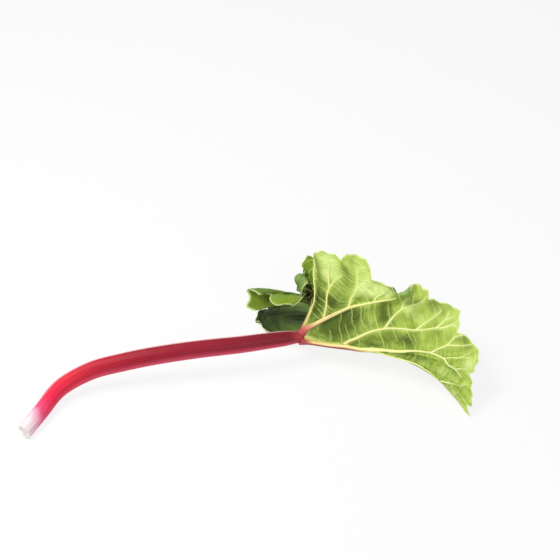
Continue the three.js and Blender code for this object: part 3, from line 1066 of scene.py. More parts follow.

# %% [markdown]
# ## What the sheet knows about itself
#
# The finishes need to know more than where a point is: how far it is from a rib, a vein, a
# thread and the margin, and how far out it lies. The mesh carries these as attributes.
#
# Three more are painted by rule. One holds painted light and shade: broad fields, darker where
# the sheet bulges away from the light and lighter near the rim, given as soft spots. "basal"
# marks the small lobes that lie in the shade behind the first rib, where that shade is painted
# on, and one more holds a painted glow where light would shine through their rim. A painted
# texture could hold all this too, but these few numbers need no unwrapping and stay smooth at
# any size.

# %% Distances, painted light and shade, and painted glow
# place on the flat leaf, radius in mm, and how dark (below 0, painted shade) or light (painted
# light) the spot is
PAINTED_LIGHT_SPOTS = [
    ((38, 25), 16, -1.6), ((55, 36), 14, -1.1), ((64, 44), 9, -0.6), ((104, 56), 12, -1.0),
    ((92, 5), 12, -1.0), ((108, 28), 15, -0.6), ((135, 31), 14, -0.9), ((152, -14), 13, -0.8),
    ((2, 60), 11, -1.0), ((22, 62), 11, -0.9), ((32, 67), 8, -0.9), ((12, 44), 9, -0.9),
    ((175, 75), 12, -0.7), ((217, 39), 12, -0.6), ((53, 111), 8, -1.0),
    ((73, 85), 12, 1.5), ((95, 86), 9, 1.3), ((36, 120), 15, 0.8), ((28, 102), 13, 0.8),
    ((75, 114), 11, 0.6), ((135, 68), 14, 0.6), ((84, 40), 10, 0.4), ((230, 12), 11, 1.0),
    ((198, -25), 18, 0.5), ((208, -76), 18, 0.5), ((126, 102), 13, 1.0),
    ((-33, 120), 16, 0.9), ((-80, -60), 55, -1.3)]
# the line of the rib that the basal lobes lie behind, in painted shade: across, for places further
# up
SHADE_UP, SHADE_ACROSS, SHADE_EDGE = (0, 36, 59, 70, 85, 102, 116), (0, -5, -4, -6, -5, 2, 9), 3
SHADE_START = 0.1
# painted glow where light would shine through the rim: strength, place round the margin, width
# there, and the share of the way out where it starts
PAINTED_GLOWS = [(1.0, 2.35, 0.42, 0.5), (0.75, 1.72, 0.22, 0.6)]


def add_attributes(mesh, **named):
    """Stores a number or a direction for every point of a mesh, under each name."""
    for name, values in named.items():
        values = np.ascontiguousarray(values, np.float32)
        kind, field = ("FLOAT", "value") if values.ndim == 1 else ("FLOAT_VECTOR", "vector")
        mesh.attributes.new(name, kind, "POINT").data.foreach_set(field, values.ravel())


lobe, t = flat_to_leaf(flat_points)
# painted light and shade: the dark and light spots added up
painted_light = sum(strength * hump(polar(flat_points - place)[0], radius)
           for place, radius, strength in PAINTED_LIGHT_SPOTS)
# painted shade on the basal lobes behind the first rib
shade_line = np.interp(flat_points[:, 1], SHADE_UP, SHADE_ACROSS)
behind = np.clip((shade_line - flat_points[:, 0]) / SHADE_EDGE, 0, 1)
# painted glow, standing for light that shines through the rim
painted_glow = sum(strength * hump(lobe, width, place) * np.clip(4 * (t - start), 0, 1)
           for strength, place, width, start in PAINTED_GLOWS)
known = {"flat": np.column_stack([flat_points, np.zeros(size)]), "out": t, "painted_light": painted_light,
         "net": net_distance, "rib": rib_distance - rib_width,
         "thread": to_thread(flat_points)[0], "margin": nearest(outline_tree, flat_points)[0],
         "basal": behind * np.clip(6 * (t - SHADE_START), 0, 1), "painted_glow": painted_glow}
add_attributes(leaf_mesh, **{name: np.concatenate([values] * 2) for name, values in known.items()})
print("attributes:", sorted(known))

# %% [markdown]
# ## One material for each finish
#
# The pieces are given their materials as they are made, and so the materials exist before their
# colours do. The leaf's upper side and underside are one mesh with two of them. Each is filled
# in further down.

# %% Empty materials, filled in further down
underside_skin, upper_skin, rib_flesh, stalk_skin_red, stalk_cut = (
    bpy.data.materials.new(name) for name in (
        "leaf_underside", "leaf_upper", "rib_flesh", "stalk_skin_red", "stalk_cut_face"))
for material in (underside_skin, upper_skin, rib_flesh, stalk_skin_red, stalk_cut):
    material.use_nodes = True
leaf_mesh.materials.append(upper_skin)
leaf_mesh.materials.append(underside_skin)
on_underside = np.arange(len(faces), dtype=np.int32) >= len(triangles)
leaf_mesh.polygons.foreach_set("material_index", on_underside.astype(np.int32))
print("underside faces:", int(on_underside.sum()))

# %% [markdown]
# ## Ribs and veins as raised cords
#
# Every rib and vein is a cord that runs along the sheet's underside: wide and low, thick at its
# root and thin at its end. That is a path with a section swept along it, so a Geometry Nodes
# tree makes them all at once. The path's points carry the width, the blush, and the direction
# that points away from the leaf. The tree turns that direction into the curve's normal, so the
# flattened section always lies flat on the leaf, however it twists.

# %% Node groups, and running a tree
FLOAT, INTEGER, GEOMETRY = "NodeSocketFloat", "NodeSocketInt", "NodeSocketGeometry"
MATERIAL, VECTOR = "NodeSocketMaterial", "NodeSocketVector"


def new_group(name, kind, inputs, outputs):
    """The wiring of an empty node group, and its named inputs and outputs."""
    tree = bpy.data.node_groups.new(name, kind)
    for socket_name, socket_type, value in inputs:
        socket = tree.interface.new_socket(socket_name, in_out="INPUT", socket_type=socket_type)
        if value is not None:
            socket.default_value = value
    for socket_name, socket_type in outputs:
        tree.interface.new_socket(socket_name, in_out="OUTPUT", socket_type=socket_type)
    w = Wiring(tree)
    return w, w.add("NodeGroupInput").outputs, w.add("NodeGroupOutput").inputs


def store(w, geometry, name, value, kind="FLOAT"):
    """Keeps a value on every point of a geometry, where a finish can read it by its name."""
    return w.geo("StoreNamedAttribute", {"data_type": kind, "domain": "POINT"},
                 Geometry=geometry, Name=name, Value=value)


def close_tree(w, geometry, socket, material, where=True):
    """Shades a geometry smooth, realizes instances, sets a material and sends it all out."""
    smoothed = w.geo("SetShadeSmooth", Geometry=geometry, Shade_Smooth=True)
    real = w.geo("RealizeInstances", Geometry=smoothed)
    w.feed(socket, w.geo("SetMaterial", Geometry=real, Selection=where, Material=material))


def run_tree(name, source, tree, values):
    """Runs a Geometry Nodes tree on a source object and keeps the result as a plain mesh."""
    modifier = source.modifiers.new(tree.name, "NODES")
    modifier.node_group = tree
    identifiers = {item.name: item.identifier for item in tree.interface.items_tree
                   if item.in_out == "INPUT"}
    for socket_name, value in values.items():
        modifier[identifiers[socket_name]] = value
    graph = bpy.context.evaluated_depsgraph_get()
    mesh = bpy.data.meshes.new_from_object(source.evaluated_get(graph))
    mesh.name = name
    # a curve brings an empty first slot with it, which is dropped
    slots = list(mesh.materials)
    used = [slot for slot in slots if slot]
    index = np.zeros(len(mesh.polygons), np.int32)
    mesh.polygons.foreach_get("material_index", index)
    mesh.materials.clear()
    for slot in used:
        mesh.materials.append(slot)
    index = np.array([used.index(slots[i]) if slots[i] else 0 for i in index], np.int32)
    mesh.polygons.foreach_set("material_index", index)
    source.modifiers.remove(modifier)
    bpy.data.objects.remove(source)
    print(name, "has", len(mesh.polygons), "faces")
    return link_object(name, mesh)


print("ready to build trees")

# %% The cord tree
w, given, result = new_group("cords_on_a_leaf", "GeometryNodeTree", [
    ("Paths", GEOMETRY, None), ("Flatness", FLOAT, 0.6), ("Sides", INTEGER, 8),
    ("Lowest Point", FLOAT, 0.0001), ("Material", MATERIAL, None),
], [("Cords", GEOMETRY)])
cord_tree = w.tree
away = w.geo("InputNamedAttribute", {"data_type": "FLOAT_VECTOR"}, Name="away")
half_width = w.geo("InputNamedAttribute", {"data_type": "FLOAT"}, Name="half_width")
paths = w.geo("SetCurveNormal", {"mode": "FREE"}, Normal=away,
              Curve=w.geo("MeshToCurve", Mesh=given["Paths"]))
circle = w.geo("CurvePrimitiveCircle", {"mode": "RADIUS"}, Resolution=given["Sides"], Radius=1.0)
# a position is read afresh by each node that uses it: on the section, and later on the cords
place = w.parts(w.geo("InputPosition"))
section = w.geo("Transform", Geometry=store(w, circle, "around", place["Y"]),
                Scale=w.combine(given["Flatness"], 1.0, 1.0))
cords = w.geo("CurveToMesh", Curve=paths, Profile_Curve=section, Scale=half_width,
              Fill_Caps=True)
lifted = w.combine(place["X"], place["Y"], w.math("MAXIMUM", place["Z"], given["Lowest Point"]))
placed = w.geo("SetPosition", Geometry=cords, Position=lifted)
kept = store(w, placed, "up", w.parts(w.geo("InputNormal"))["Z"])
close_tree(w, kept, result["Cords"], given["Material"])
print(len(cord_tree.nodes), "nodes in the cord tree")


# %% Sweep the ribs and the veins
def make_cords(name, veins, lift, sides):
    """One piece from many veins, on the underside of the finished sheet."""
    flat, radius, red, whole = (np.concatenate([v[key] for v in veins])
                                for key in ("line", "radius", "red", "whole"))
    points, upper = place_on_leaf(flat)
    points -= upper * (SHEET_THICKNESS / 2 + lift * radius)[:, None]
    ends = set(np.cumsum([len(v["line"]) for v in veins]))
    edges = [(k - 1, k) for k in range(1, len(flat)) if k not in ends]
    mesh = bpy.data.meshes.new(name)
    mesh.from_pydata(to_frame(points).tolist(), edges, [])
    add_attributes(mesh, away=-upper, half_width=radius / 1000, red=red, whole=whole,
                   reach=polar(flat)[0] / 1000)
    return run_tree(name, link_object(name + "_paths", mesh), cord_tree,
                    {"Flatness": 0.62, "Sides": sides, "Material": rib_flesh})


leaf_ribs = make_cords("leaf_ribs", ribs, lift=0.6, sides=14)
leaf_veins = make_cords("leaf_veins", rungs, lift=0.5, sides=6)
leaf_threads = make_cords("leaf_threads", threads, lift=0.3, sides=4)

# %% [markdown]
# ## The stalk
#
# The stalk is one piece of flesh whose section follows a rule all the way: a D with a round
# belly and a grooved back, widest a third of the way up, and drawn in to a round knuckle at the
# leaf. It could be lofted through hand-made rings. Here a tree bends a plain cylinder onto the
# route instead: each point's height becomes its share of the length, its angle becomes its
# place round the section, and the width is read from the route curve's own radius. Strings run
# under the skin from end to end, and the tree raises them as uneven ridges, read from a noise
# that is stretched along the stalk.

# %% The stalk tree's inputs, and where each point of its cylinder belongs
STALK_RINGS, STALK_SIDES, FACE_RINGS, RIDGE_HEIGHT = 300, 140, 10, 0.0003
# the last rings become the dome that closes the knuckle
DOME_FROM = 0.965
w, given, result = new_group("stalk_along_a_route", "GeometryNodeTree", [
    ("Route", GEOMETRY, None), ("Rings", INTEGER, STALK_RINGS), ("Sides", INTEGER, STALK_SIDES),
    ("Belly Share", FLOAT, BELLY_SHARE), ("Back Share", FLOAT, BACK_SHARE),
    ("Groove Depth Share", FLOAT, GROOVE_DEPTH_SHARE),
    ("Groove Half Width Share", FLOAT, GROOVE_HALF_WIDTH_SHARE),
    ("Back Drop", FLOAT, BACK_DROP), ("Knuckle Radius", FLOAT, KNUCKLE_RADIUS / 1000),
    ("Knuckle Share", FLOAT, KNUCKLE_BLEND), ("Ridge Height", FLOAT, RIDGE_HEIGHT),
    ("Ridges", FLOAT, 26.0), ("Face Hollow", FLOAT, 0.0014),
    ("Skin", MATERIAL, None), ("Cut Face", MATERIAL, None),
], [("Stalk", GEOMETRY)])
stalk_tree = w.tree
cylinder = w.add("GeometryNodeMeshCylinder", {"fill_type": "TRIANGLE_FAN"},
                 Vertices=given["Sides"], Side_Segments=given["Rings"],
                 Fill_Segments=FACE_RINGS, Radius=1.0, Depth=1.0)
start_place = w.geo("InputPosition")
start = w.parts(start_place)
height = w.plus(start["Z"], 0.5)
radial = w.vector("LENGTH", w.combine(start["X"], start["Y"], 0.0))
turn = w.math("ARCTAN2", start["Y"], start["X"])
cosine, sine = w.math("COSINE", turn), w.math("SINE", turn)
share = w.ramp(height, 0.0, DOME_FROM)
dome = w.times(w.ramp(height, DOME_FROM, 1.0), math.pi / 2)
dome_width, dome_reach = w.math("COSINE", dome), w.math("SINE", dome)
# the route's own place, direction and width at that share
sample = w.add("GeometryNodeSampleCurve", {"mode": "FACTOR", "use_all_curves": True,
                                           "data_type": "FLOAT"},
               Curves=given["Route"], Value=w.geo("InputRadius"), Factor=share).outputs
width, along = sample[0], sample["Tangent"]
print(len(stalk_tree.nodes), "nodes say where each point belongs")

# %% The stalk tree's section, strings and knuckle
flat_x = w.times(cosine, 0.5)
fourth = w.math("POWER", w.math("ABSOLUTE", cosine), 4.0)
round_edge = w.math("SQRT", w.math("MAXIMUM", w.minus(1.0, fourth), 0.0))
ratio = w.math("DIVIDE", flat_x, given["Groove Half Width Share"])
hollow = w.math("EXPONENT", w.times(w.times(ratio, ratio), -1.0))
back_y = w.minus(w.times(given["Back Share"], round_edge),
                 w.times(given["Groove Depth Share"], hollow))
belly_y = w.times(given["Belly Share"], sine)


def mixed(share, first, second):
    """A number between a first and a second one."""
    node = w.add("ShaderNodeMix", {"data_type": "FLOAT"}, Factor=share)
    w.feed(node.inputs["A"], first)
    w.feed(node.inputs["B"], second)
    return node.outputs[0]


flat_y = mixed(w.math("LESS_THAN", sine, 0.0), back_y, belly_y)
# uneven strings under the skin: even waves round the stalk, and more of a stretched noise
string_place = w.combine(w.times(cosine, 5.0), w.times(sine, 5.0), w.times(share, 3.0))
uneven = w.minus(w.noise(string_place, 1.0, 1.0)[0], 0.5)
even = w.math("COSINE", w.times(turn, given["Ridges"]))
ridge = w.plus(w.times(even, 0.35), w.times(uneven, 3.0))
fade = w.ramp(share, 0.9, 0.99, 1.0, 0.15)
swell = w.math("MULTIPLY_ADD", w.times(ridge, fade),
               w.math("DIVIDE", given["Ridge Height"], w.times(width, 0.5)), 1.0)
blend = w.ramp(share, w.minus(1.0, given["Knuckle Share"]), 1.0, soft=True)


def towards_knuckle(flat_value, round_value):
    """One coordinate of the section, blended into the round knuckle and its dome."""
    value = mixed(blend, w.times(flat_value, width),
                  w.times(given["Knuckle Radius"], round_value))
    return w.times(w.times(w.times(value, swell), dome_width), radial)


x, y = towards_knuckle(flat_x, cosine), towards_knuckle(flat_y, sine)
print(len(stalk_tree.nodes), "nodes with the section")

# %% The stalk tree's directions, cut face and result
side = w.vector("NORMALIZE", w.vector("CROSS_PRODUCT", (0.0, 0.0, 1.0), along))
rise = w.vector("CROSS_PRODUCT", along, side)
back = w.vector("SUBTRACT", w.scaled(side, w.math("COSINE", given["Back Drop"])),
                w.scaled(rise, w.math("SINE", given["Back Drop"])))
across = w.vector("CROSS_PRODUCT", back, along)
# the cut face is slightly hollow and rough, and its rim is not quite even
at_foot = w.ramp(share, 0.0, 0.02, 1.0, 0.0)
dish = w.times(w.minus(1.0, w.math("POWER", radial, 2.0)), given["Face Hollow"])
rough = w.times(w.minus(w.noise(start_place, 2.6, 2.0)[0], 0.5), 0.004)
forward = w.plus(w.times(dome_reach, given["Knuckle Radius"]),
                 w.times(w.plus(dish, rough), at_foot))
offset = w.vector("ADD", w.vector("ADD", w.scaled(across, x), w.scaled(back, y)),
                  w.scaled(along, forward))
section_place = w.combine(x, y, w.times(share, stalk_length / 1000))
kept = store(w, cylinder.outputs["Mesh"], "section", section_place, "FLOAT_VECTOR")
for name, value in (("along", share), ("across", cosine)):
    kept = store(w, kept, name, value)
placed = w.geo("SetPosition", Geometry=kept,
               Position=w.vector("ADD", sample["Position"], offset))
# the skin's material goes on first, and the last one only on the foot
skinned = w.geo("SetMaterial", Geometry=placed, Material=given["Skin"])
close_tree(w, skinned, result["Stalk"], given["Cut Face"], cylinder.outputs["Bottom"])
print(len(stalk_tree.nodes), "nodes in the stalk tree")

# %% Bend the stalk onto its route
ROUTE_POINTS = 401
route_shares = np.linspace(0, 1, ROUTE_POINTS)
route_points = to_frame(along_line(dense_route, route_shares * stalk_length))
route_curve = bpy.data.curves.new("stalk_route", "CURVE")
route_curve.dimensions = "3D"
spline = route_curve.splines.new("POLY")
spline.points.add(ROUTE_POINTS - 1)
spline.points.foreach_set("co", np.hstack([route_points, np.ones((ROUTE_POINTS, 1))]).ravel())
spline.points.foreach_set("radius", stalk_width(route_shares) / 1000)
stalk = run_tree("stalk_flesh", link_object("stalk_route", route_curve), stalk_tree, {
    "Skin": stalk_skin_red, "Cut Face": stalk_cut, "Rings": STALK_RINGS, "Sides": STALK_SIDES,
    "Ridge Height": RIDGE_HEIGHT})

# %% [markdown]
# ## Patterns that more than one finish uses
#
# Two effects turn up in several finishes, so each is a shader node group with its own inputs.
# The first is the leaf's finest net of veinlets, which is far too fine to model. It is drawn
# from the edges of Voronoi cells, and bent by noise so that no cell is a neat polygon. The
# second is the streaks of fibre in stalk and ribs, a noise that is squeezed across the fibres
# and stretched along them.

# %% The fine net and mottling of the leaf
w, given, result = new_group("leaf_net_pattern", "ShaderNodeTree", [
    ("Place", VECTOR, None), ("Cells per mm", FLOAT, 0.45), ("Line", FLOAT, 0.10),
], [("Net", FLOAT), ("Mottle", FLOAT), ("Grain", FLOAT)])
bend = w.noise(given["Place"], 0.35, 2.0)["Color"]
bent = w.vector("ADD", given["Place"],
                w.scaled(w.vector("SUBTRACT", bend, (0.5, 0.5, 0.5)), 3.2))
cells = w.add("ShaderNodeTexVoronoi", {"feature": "DISTANCE_TO_EDGE", "voronoi_dimensions": "2D"},
              Vector=bent, Scale=given["Cells per mm"]).outputs["Distance"]
w.feed(result["Net"], w.ramp(cells, 0.0, given["Line"], 1.0, 0.0))
w.feed(result["Mottle"], w.ramp(w.noise(given["Place"], 0.055, 4.0, 0.6)[0], 0.3, 0.7))
w.feed(result["Grain"], w.noise(given["Place"], 1.6, 3.0, 0.6)[0])
print(len(w.tree.nodes), "nodes in the net pattern")

# %% Fibres, patches and specks of stalk and ribs
w, given, result = new_group("plant_fibre_pattern", "ShaderNodeTree", [
    ("Place", VECTOR, None), ("Across", FLOAT, 900.0), ("Lengthwise", FLOAT, 30.0),
], [("Fibres", FLOAT), ("Patches", FLOAT), ("Specks", FLOAT)])
squeezed, for_patches, for_specks = (w.vector("MULTIPLY", given["Place"], scales) for scales in (
    w.combine(given["Across"], given["Across"], given["Lengthwise"]),
    (120.0, 120.0, 14.0), (620.0, 620.0, 240.0)))
w.feed(result["Fibres"], w.ramp(w.noise(squeezed, 1.0, 4.0, 0.6)[0], 0.3, 0.7))
w.feed(result["Patches"], w.ramp(w.noise(for_patches, 1.0, 3.0)[0], 0.3, 0.7))
dots = w.add("ShaderNodeTexVoronoi", Vector=for_specks, Scale=1.0).outputs["Distance"]
w.feed(result["Specks"], w.ramp(dots, 0.12, 0.3, 1.0, 0.0))
print(len(w.tree.nodes), "nodes in the fibre pattern")

# %% [markdown]
# ## How each finish is made
#
# Every finish here is one Principled shader, and what makes it a plant is its colour. Each starts
# from a base colour, and more colours are laid over it like thin coats of paint, each through a
# mask that says where it shows and how strongly. The masks come from the attributes that the
# mesh carries and from the patterns. Last come the roughness, the shine and a little bump.

# %% A finish and its coats of colour
class Finish(Wiring):
    """The wiring of a material with one Principled shader."""

    def __init__(self, material):
        super().__init__(material.node_tree)
        self.tree.nodes.clear()
        self.shader = self.add("ShaderNodeBsdfPrincipled")
        self.add("ShaderNodeOutputMaterial", Surface=self.shader.outputs[0])

    def read(self, name, part="Fac"):
        """An attribute of the mesh: a number, or with the part "Vector" a place."""
        return self.add("ShaderNodeAttribute", {"attribute_name": name}).outputs[part]

    def mask(self, name, *span, **how):
        """An attribute between two of its values, as a share."""
        return self.ramp(self.read(name), *span, **how)

    def pattern(self, name, **inputs):
        return self.add("ShaderNodeGroup", {"node_tree": bpy.data.node_groups[name]},
                        **inputs).outputs

    def grade(self, value, stops):
        """Colours that follow a value from stop to stop."""
        node = self.add("ShaderNodeValToRGB", Fac=value)
        elements = node.color_ramp.elements
        while len(elements) < len(stops):
            elements.new(0.5)
        for element, (position, colour) in zip(elements, stops):
            element.position = position
            element.color = (*colour, 1.0)
        return node.outputs["Color"]

    def coat(self, colour, coats):
        """Lays colours over a first one, each as strongly as its mask says."""
        for share, over in coats:
            node = self.add("ShaderNodeMix", {"data_type": "RGBA"})
            for socket, value in ((0, share), (6, colour), (7, over)):
                value = (*value, 1.0) if isinstance(value, tuple) else value
                self.feed(node.inputs[socket], value)
            colour = node.outputs[2]
        return colour

    def close(self, colour, roughness, relief, specular, strength, depth):
        """Joins everything up; the relief is a bump of some strength and depth in metres."""
        bump = self.add("ShaderNodeBump", Strength=strength, Distance=depth, Height=relief)
        self.feed(self.shader.inputs["Base Color"], colour)
        self.feed(self.shader.inputs["Roughness"], roughness)
        self.feed(self.shader.inputs["Normal"], bump.outputs[0])
        self.shader.inputs["Specular IOR Level"].default_value = specular
        print(len(self.tree.nodes), "nodes in this finish")


print("finish helper ready")

# %% [markdown]
# ## The leaf's underside
#
# The underside is a pale, matt yellow-green. It is lightest along the veins, darker with painted
# shade in the middle of the fields between them and in broad spots, lighter with painted
# highlights near the rim and in other spots, and edged with a thin pale line. The mesh carries
# its own distances to the ribs, the veins and the margin, so the colour follows the real veins
# and not a pattern laid over them. Fine creases run round the knuckle, across the ribs, with
# painted highlights and painted shade along them. The basal lobes stand in the shade of the
# rest, and that shade is painted on in olive.

# %% Finish of the underside: base colour, and painted light and shade on fields, rim and creases
w = Finish(underside_skin)
flat = w.read("flat", "Vector")
pattern = w.pattern("leaf_net_pattern", Place=flat, Cells_per_mm=0.5, Line=0.11)
mottle, net, grain = pattern["Mottle"], pattern["Net"], pattern["Grain"]
reach = w.vector("LENGTH", flat)
# painted shade: the fields far from a rib are darker, most of all near the knuckle, where the
# sheet dips away from the light
painted_field_shade = w.times(w.mask("rib", 0.2, 5.0, soft=True),
                   w.ramp(reach, 50.0, 140.0, 0.8, 0.1))
painted_field_shade = w.times(painted_field_shade, w.ramp(mottle, 0.0, 1.0, 1.0, 0.7))
# painted light and shade from the spots, with a little mottle mixed in
painted_light = w.plus(w.read("painted_light"), w.ramp(mottle, 0.0, 1.0, -0.25, 0.25))
# creases are a noise that is stretched round the knuckle, so they cross the ribs; it gives them a
# bump, painted highlights on their ridges and painted shade in their troughs
place = w.parts(flat)
round_knuckle = w.math("ARCTAN2", place["Y"], place["X"])
creases = w.noise(w.combine(w.times(reach, 0.34), w.times(round_knuckle, 5.0), 0.0),
                  1.0, 3.0, 0.65)[0]
green = w.grade(mottle, [(0.0, (0.31, 0.44, 0.050)), (0.5, (0.42, 0.57, 0.080)),
                         (1.0, (0.54, 0.70, 0.12))])
green = w.coat(green, [
    # painted highlight on the sheet near the rim
    (w.mask("margin", 2.0, 28.0, 0.7, 0.0), (0.72, 0.90, 0.20)),
    # painted shade in the fields between the ribs
    (painted_field_shade, (0.055, 0.095, 0.009)),
    # painted highlight from the light spots
    (w.ramp(painted_light, 0.1, 1.0, 0.0, 0.9), (0.82, 0.97, 0.38)),
    # painted highlight on the crease ridges
    (w.ramp(creases, 0.52, 0.75, 0.0, 0.45), (0.78, 0.94, 0.30)),
    # painted shade from the dark spots
    (w.ramp(painted_light, -0.1, -1.0, 0.0, 0.90), (0.040, 0.072, 0.006)),
    # painted shade in the crease troughs
    (w.ramp(creases, 0.48, 0.28, 0.0, 0.45), (0.10, 0.16, 0.016)),
])

# %% Finish of the underside: veins, painted shade of the basal lobes, and margin
beside_rib = w.grade(w.ramp(reach, 0.0, 100.0), [
    (0.0, (0.90, 0.60, 0.26)), (0.4, (0.88, 0.74, 0.28)), (0.8, (0.70, 0.82, 0.27))])
# painted shade on the basal lobes, lighter towards their rim
in_shade = w.grade(w.read("out"), [(0.5, (0.030, 0.045, 0.006)), (0.85, (0.140, 0.225, 0.008))])
green = w.coat(green, [
    (w.times(net, 0.14), (0.46, 0.58, 0.13)),
    (w.mask("thread", 0.1, 0.7, 0.10, 0.0), (0.50, 0.62, 0.15)),
    (w.mask("net", 0.2, 1.7, 0.30, 0.0, soft=True), (0.56, 0.70, 0.16)),
    (w.mask("rib", -0.2, 1.8, 0.75, 0.0, soft=True), beside_rib),
    (w.ramp(grain, 0.35, 0.65, 0.0, 0.25), (0.22, 0.34, 0.05)),
    (w.times(w.read("basal"), 0.88), in_shade),
    (w.mask("margin", 0.4, 1.6, 0.85, 0.0), (0.88, 0.98, 0.48)),
])
relief = w.plus(w.plus(w.times(net, 0.6), grain), w.times(creases, 2.0))
w.close(green, w.ramp(grain, 0.3, 0.7, 0.50, 0.64), relief, specular=0.15, strength=0.5,
        depth=0.0007)

# %% [markdown]
# ## The leaf's upper side
#
# The upper side is a deep green with a slight waxy shine, and its veins are sunken, pale lines.
# It shows where the margin curls over, and all over the back. Where light would shine through the
# rim of the basal lobes a yellow-green glow is painted on, broad spots of painted highlight and
# painted shade lie over it, and next to the knuckle it is red.

# %% Finish of the upper side
w = Finish(upper_skin)
flat = w.read("flat", "Vector")
pattern = w.pattern("leaf_net_pattern", Place=flat, Cells_per_mm=0.45, Line=0.12)
green = w.grade(pattern["Mottle"], [(0.0, (0.065, 0.130, 0.010)), (0.5, (0.120, 0.215, 0.028)),
                                    (1.0, (0.21, 0.34, 0.070))])
at_knuckle = w.ramp(w.vector("LENGTH", flat), 9.0, 20.0, 0.9, 0.0, soft=True)
green = w.coat(green, [
    (w.times(pattern["Net"], 0.25), (0.17, 0.26, 0.05)),
    (w.mask("net", 0.1, 0.9, 0.35, 0.0, soft=True), (0.19, 0.29, 0.06)),
    (w.mask("rib", -0.4, 0.6, 0.6, 0.0, soft=True), (0.28, 0.37, 0.10)),
    # painted highlight from the light spots
    (w.mask("painted_light", 0.2, 1.0, 0.0, 0.9), (0.36, 0.54, 0.14)),
    # painted glow where light would shine through the rim
    (w.times(w.read("painted_glow"), 0.9), (0.24, 0.34, 0.002)),
    (w.mask("margin", 0.3, 1.5, 0.85, 0.0), (0.55, 0.66, 0.22)),
    # painted shade from the dark spots
    (w.mask("painted_light", -0.1, -0.9, 0.0, 0.92), (0.024, 0.046, 0.003)),
    (at_knuckle, (0.26, 0.035, 0.040)),
])
relief = w.minus(pattern["Grain"], w.times(pattern["Net"], 0.8))
w.close(green, w.ramp(pattern["Grain"], 0.3, 0.7, 0.36, 0.52), relief, specular=0.3,
        strength=0.35, depth=0.0005)

# %% [markdown]
# ## Ribs
#
# The ribs are pale cream, the thinnest veins nearly as green as the sheet, and the big ribs
# blush red where they leave the knuckle. The blush is the ribs' own colour, but it is laid on the
# side of a rib that faces down and darkens the more that side faces down, which is painted shade.
# Fibres streak it, so it fades in threads and not as a clean gradient.

# %% Finish of the ribs
w = Finish(rib_flesh)
along_rib = w.combine(w.read("around"), 0.0, w.times(w.read("reach"), 10.0))
fibres = w.pattern("plant_fibre_pattern", Place=along_rib, Across=6.0, Lengthwise=20.0)["Fibres"]
cream = w.grade(w.read("reach"), [
    (0.0, (0.95, 0.60, 0.28)), (0.045, (0.95, 0.74, 0.33)),
    (0.08, (0.95, 0.92, 0.38)), (0.2, (0.97, 1.0, 0.48))])
# painted shade: the blush goes on the side of a rib that faces down
shaded_low_side = w.mask("up", 0.55, -0.15, soft=True)
blush = w.plus(w.read("red"), w.ramp(fibres, 0.0, 1.0, -0.12, 0.12))
blush = w.times(w.ramp(blush, 0.1, 0.6, soft=True),
                w.math("MAXIMUM", shaded_low_side, w.read("whole")))
# painted shade: the red is darker the more the rib faces down
red = w.grade(w.mask("up", -0.5, 0.5), [
    (0.0, (0.26, 0.030, 0.045)), (0.45, (0.52, 0.10, 0.085)), (1.0, (0.74, 0.26, 0.15))])
flesh = w.coat(cream, [
    (w.ramp(fibres, 0.0, 1.0, 0.0, 0.3), (0.66, 0.75, 0.20)),
    (w.mask("half_width", 0.0002, 0.0007, 0.8, 0.0), (0.56, 0.70, 0.17)),
    (blush, red),
    (w.mask("reach", 0.007, 0.022, 1.0, 0.0, soft=True), (0.48, 0.070, 0.075)),
])
w.close(flesh, w.ramp(fibres, 0.0, 1.0, 0.42, 0.55), fibres, specular=0.35, strength=0.3,
        depth=0.0003)

# %% [markdown]
# ## The stalk's skin
#
# The skin is nearly white at the foot, which grew underground, flushes to a bright pink-red at
# the bend, and deepens to dark crimson at the leaf. Fine strings and small pale specks run
# along it. It has a soft wet shine. The bands could be painted by hand, but a grade along the
# stalk, with its edges frayed by the fibres, looks grown.

# %% Finish of the stalk
w = Finish(stalk_skin_red)
pattern = w.pattern("plant_fibre_pattern", Place=w.read("section", "Vector"), Across=900.0,
                    Lengthwise=26.0)
fibres = pattern["Fibres"]
# the white runs further up the far side of the foot than the near one
lean = w.times(w.read("across"), w.mask("along", 0.0, 0.16, 0.04, 0.0))
along = w.plus(w.plus(w.read("along"), w.times(w.minus(fibres, 0.5), 0.03)), lean)
body = w.grade(along, [
    (0.0, (0.98, 0.88, 0.88)), (0.05, (0.98, 0.52, 0.68)), (0.08, (0.97, 0.10, 0.24)),
    (0.14, (0.97, 0.030, 0.095)), (0.24, (0.76, 0.022, 0.048)), (0.35, (0.52, 0.013, 0.030)),
    (0.45, (0.34, 0.010, 0.026)), (0.75, (0.24, 0.009, 0.024)), (1.0, (0.13, 0.010, 0.013))])
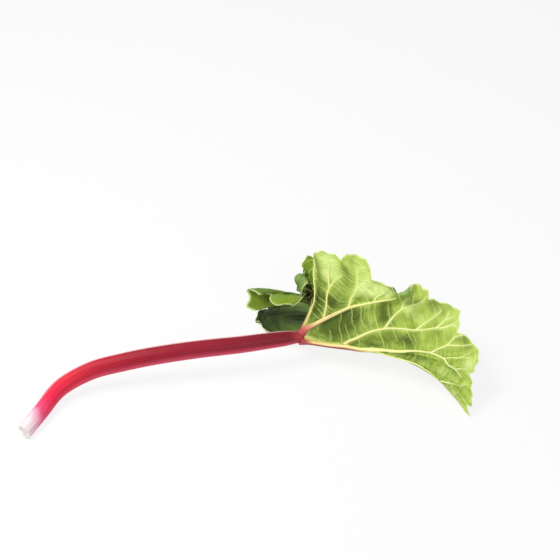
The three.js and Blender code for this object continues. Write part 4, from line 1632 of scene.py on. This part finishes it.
# painted bounce light from the table makes the front edge pinker, a painted highlight makes the
# far rim a thin pale line, and the knuckle is a warmer red
past_foot = w.mask("along", 0.10, 0.25)
painted_bounce_light = w.times(w.mask("across", 0.1, 0.9, 0.0, 0.85, soft=True), past_foot)
painted_rim_highlight = w.times(w.mask("across", -0.945, -0.99, 0.0, 0.85), past_foot)
specks = w.times(pattern["Specks"], w.mask("along", 0.2, 0.6, 0.04, 0.16))
body = w.coat(body, [
    (w.ramp(fibres, 0.25, 1.0, 0.0, 0.22), (0.54, 0.040, 0.065)),
    (w.ramp(pattern["Patches"], 0.2, 1.0, 0.0, 0.25), (0.26, 0.010, 0.030)),
    # painted bounce light from the table on the front edge
    (painted_bounce_light, (0.76, 0.075, 0.15)),
    # painted highlight along the far rim
    (painted_rim_highlight, (0.94, 0.54, 0.56)),
    (w.mask("along", 0.955, 0.995, 0.0, 0.8, soft=True), (0.42, 0.055, 0.060)),
    (specks, (0.55, 0.12, 0.09)),
])
w.close(body, w.ramp(fibres, 0.0, 1.0, 0.34, 0.46), fibres, specular=0.15, strength=0.3,
        depth=0.0003)

# %% [markdown]
# ## The cut face
#
# A knife left the foot of the stalk as a pale, moist, slightly hollow face, dotted with the
# ends of the strings. The same fibre pattern serves, with the length taken out of its place.

# %% Finish of the cut face
w = Finish(stalk_cut)
on_face = w.vector("MULTIPLY", w.read("section", "Vector"), (1.0, 1.0, 0.0))
pattern = w.pattern("plant_fibre_pattern", Place=on_face, Across=900.0, Lengthwise=1.0)
flesh = w.coat((0.97, 0.92, 0.88), [
    (pattern["Fibres"], (0.97, 0.88, 0.88)),
    (w.times(pattern["Specks"], 0.3), (0.88, 0.82, 0.68)),
])
w.close(flesh, 0.45, pattern["Specks"], specular=0.5, strength=0.4, depth=0.0005)

# %% [markdown]
# ## Hand the pieces over
#
# Every piece rides on the part's one body, and the leaf and the stalk stand for the CAD solids
# that they refine.

# %% Ride, replace and finish
for piece in (leaf, leaf_ribs, leaf_veins, leaf_threads):
    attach(piece, "root")
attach(stalk, "root")
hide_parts("leaf_blade")
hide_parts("stalk")
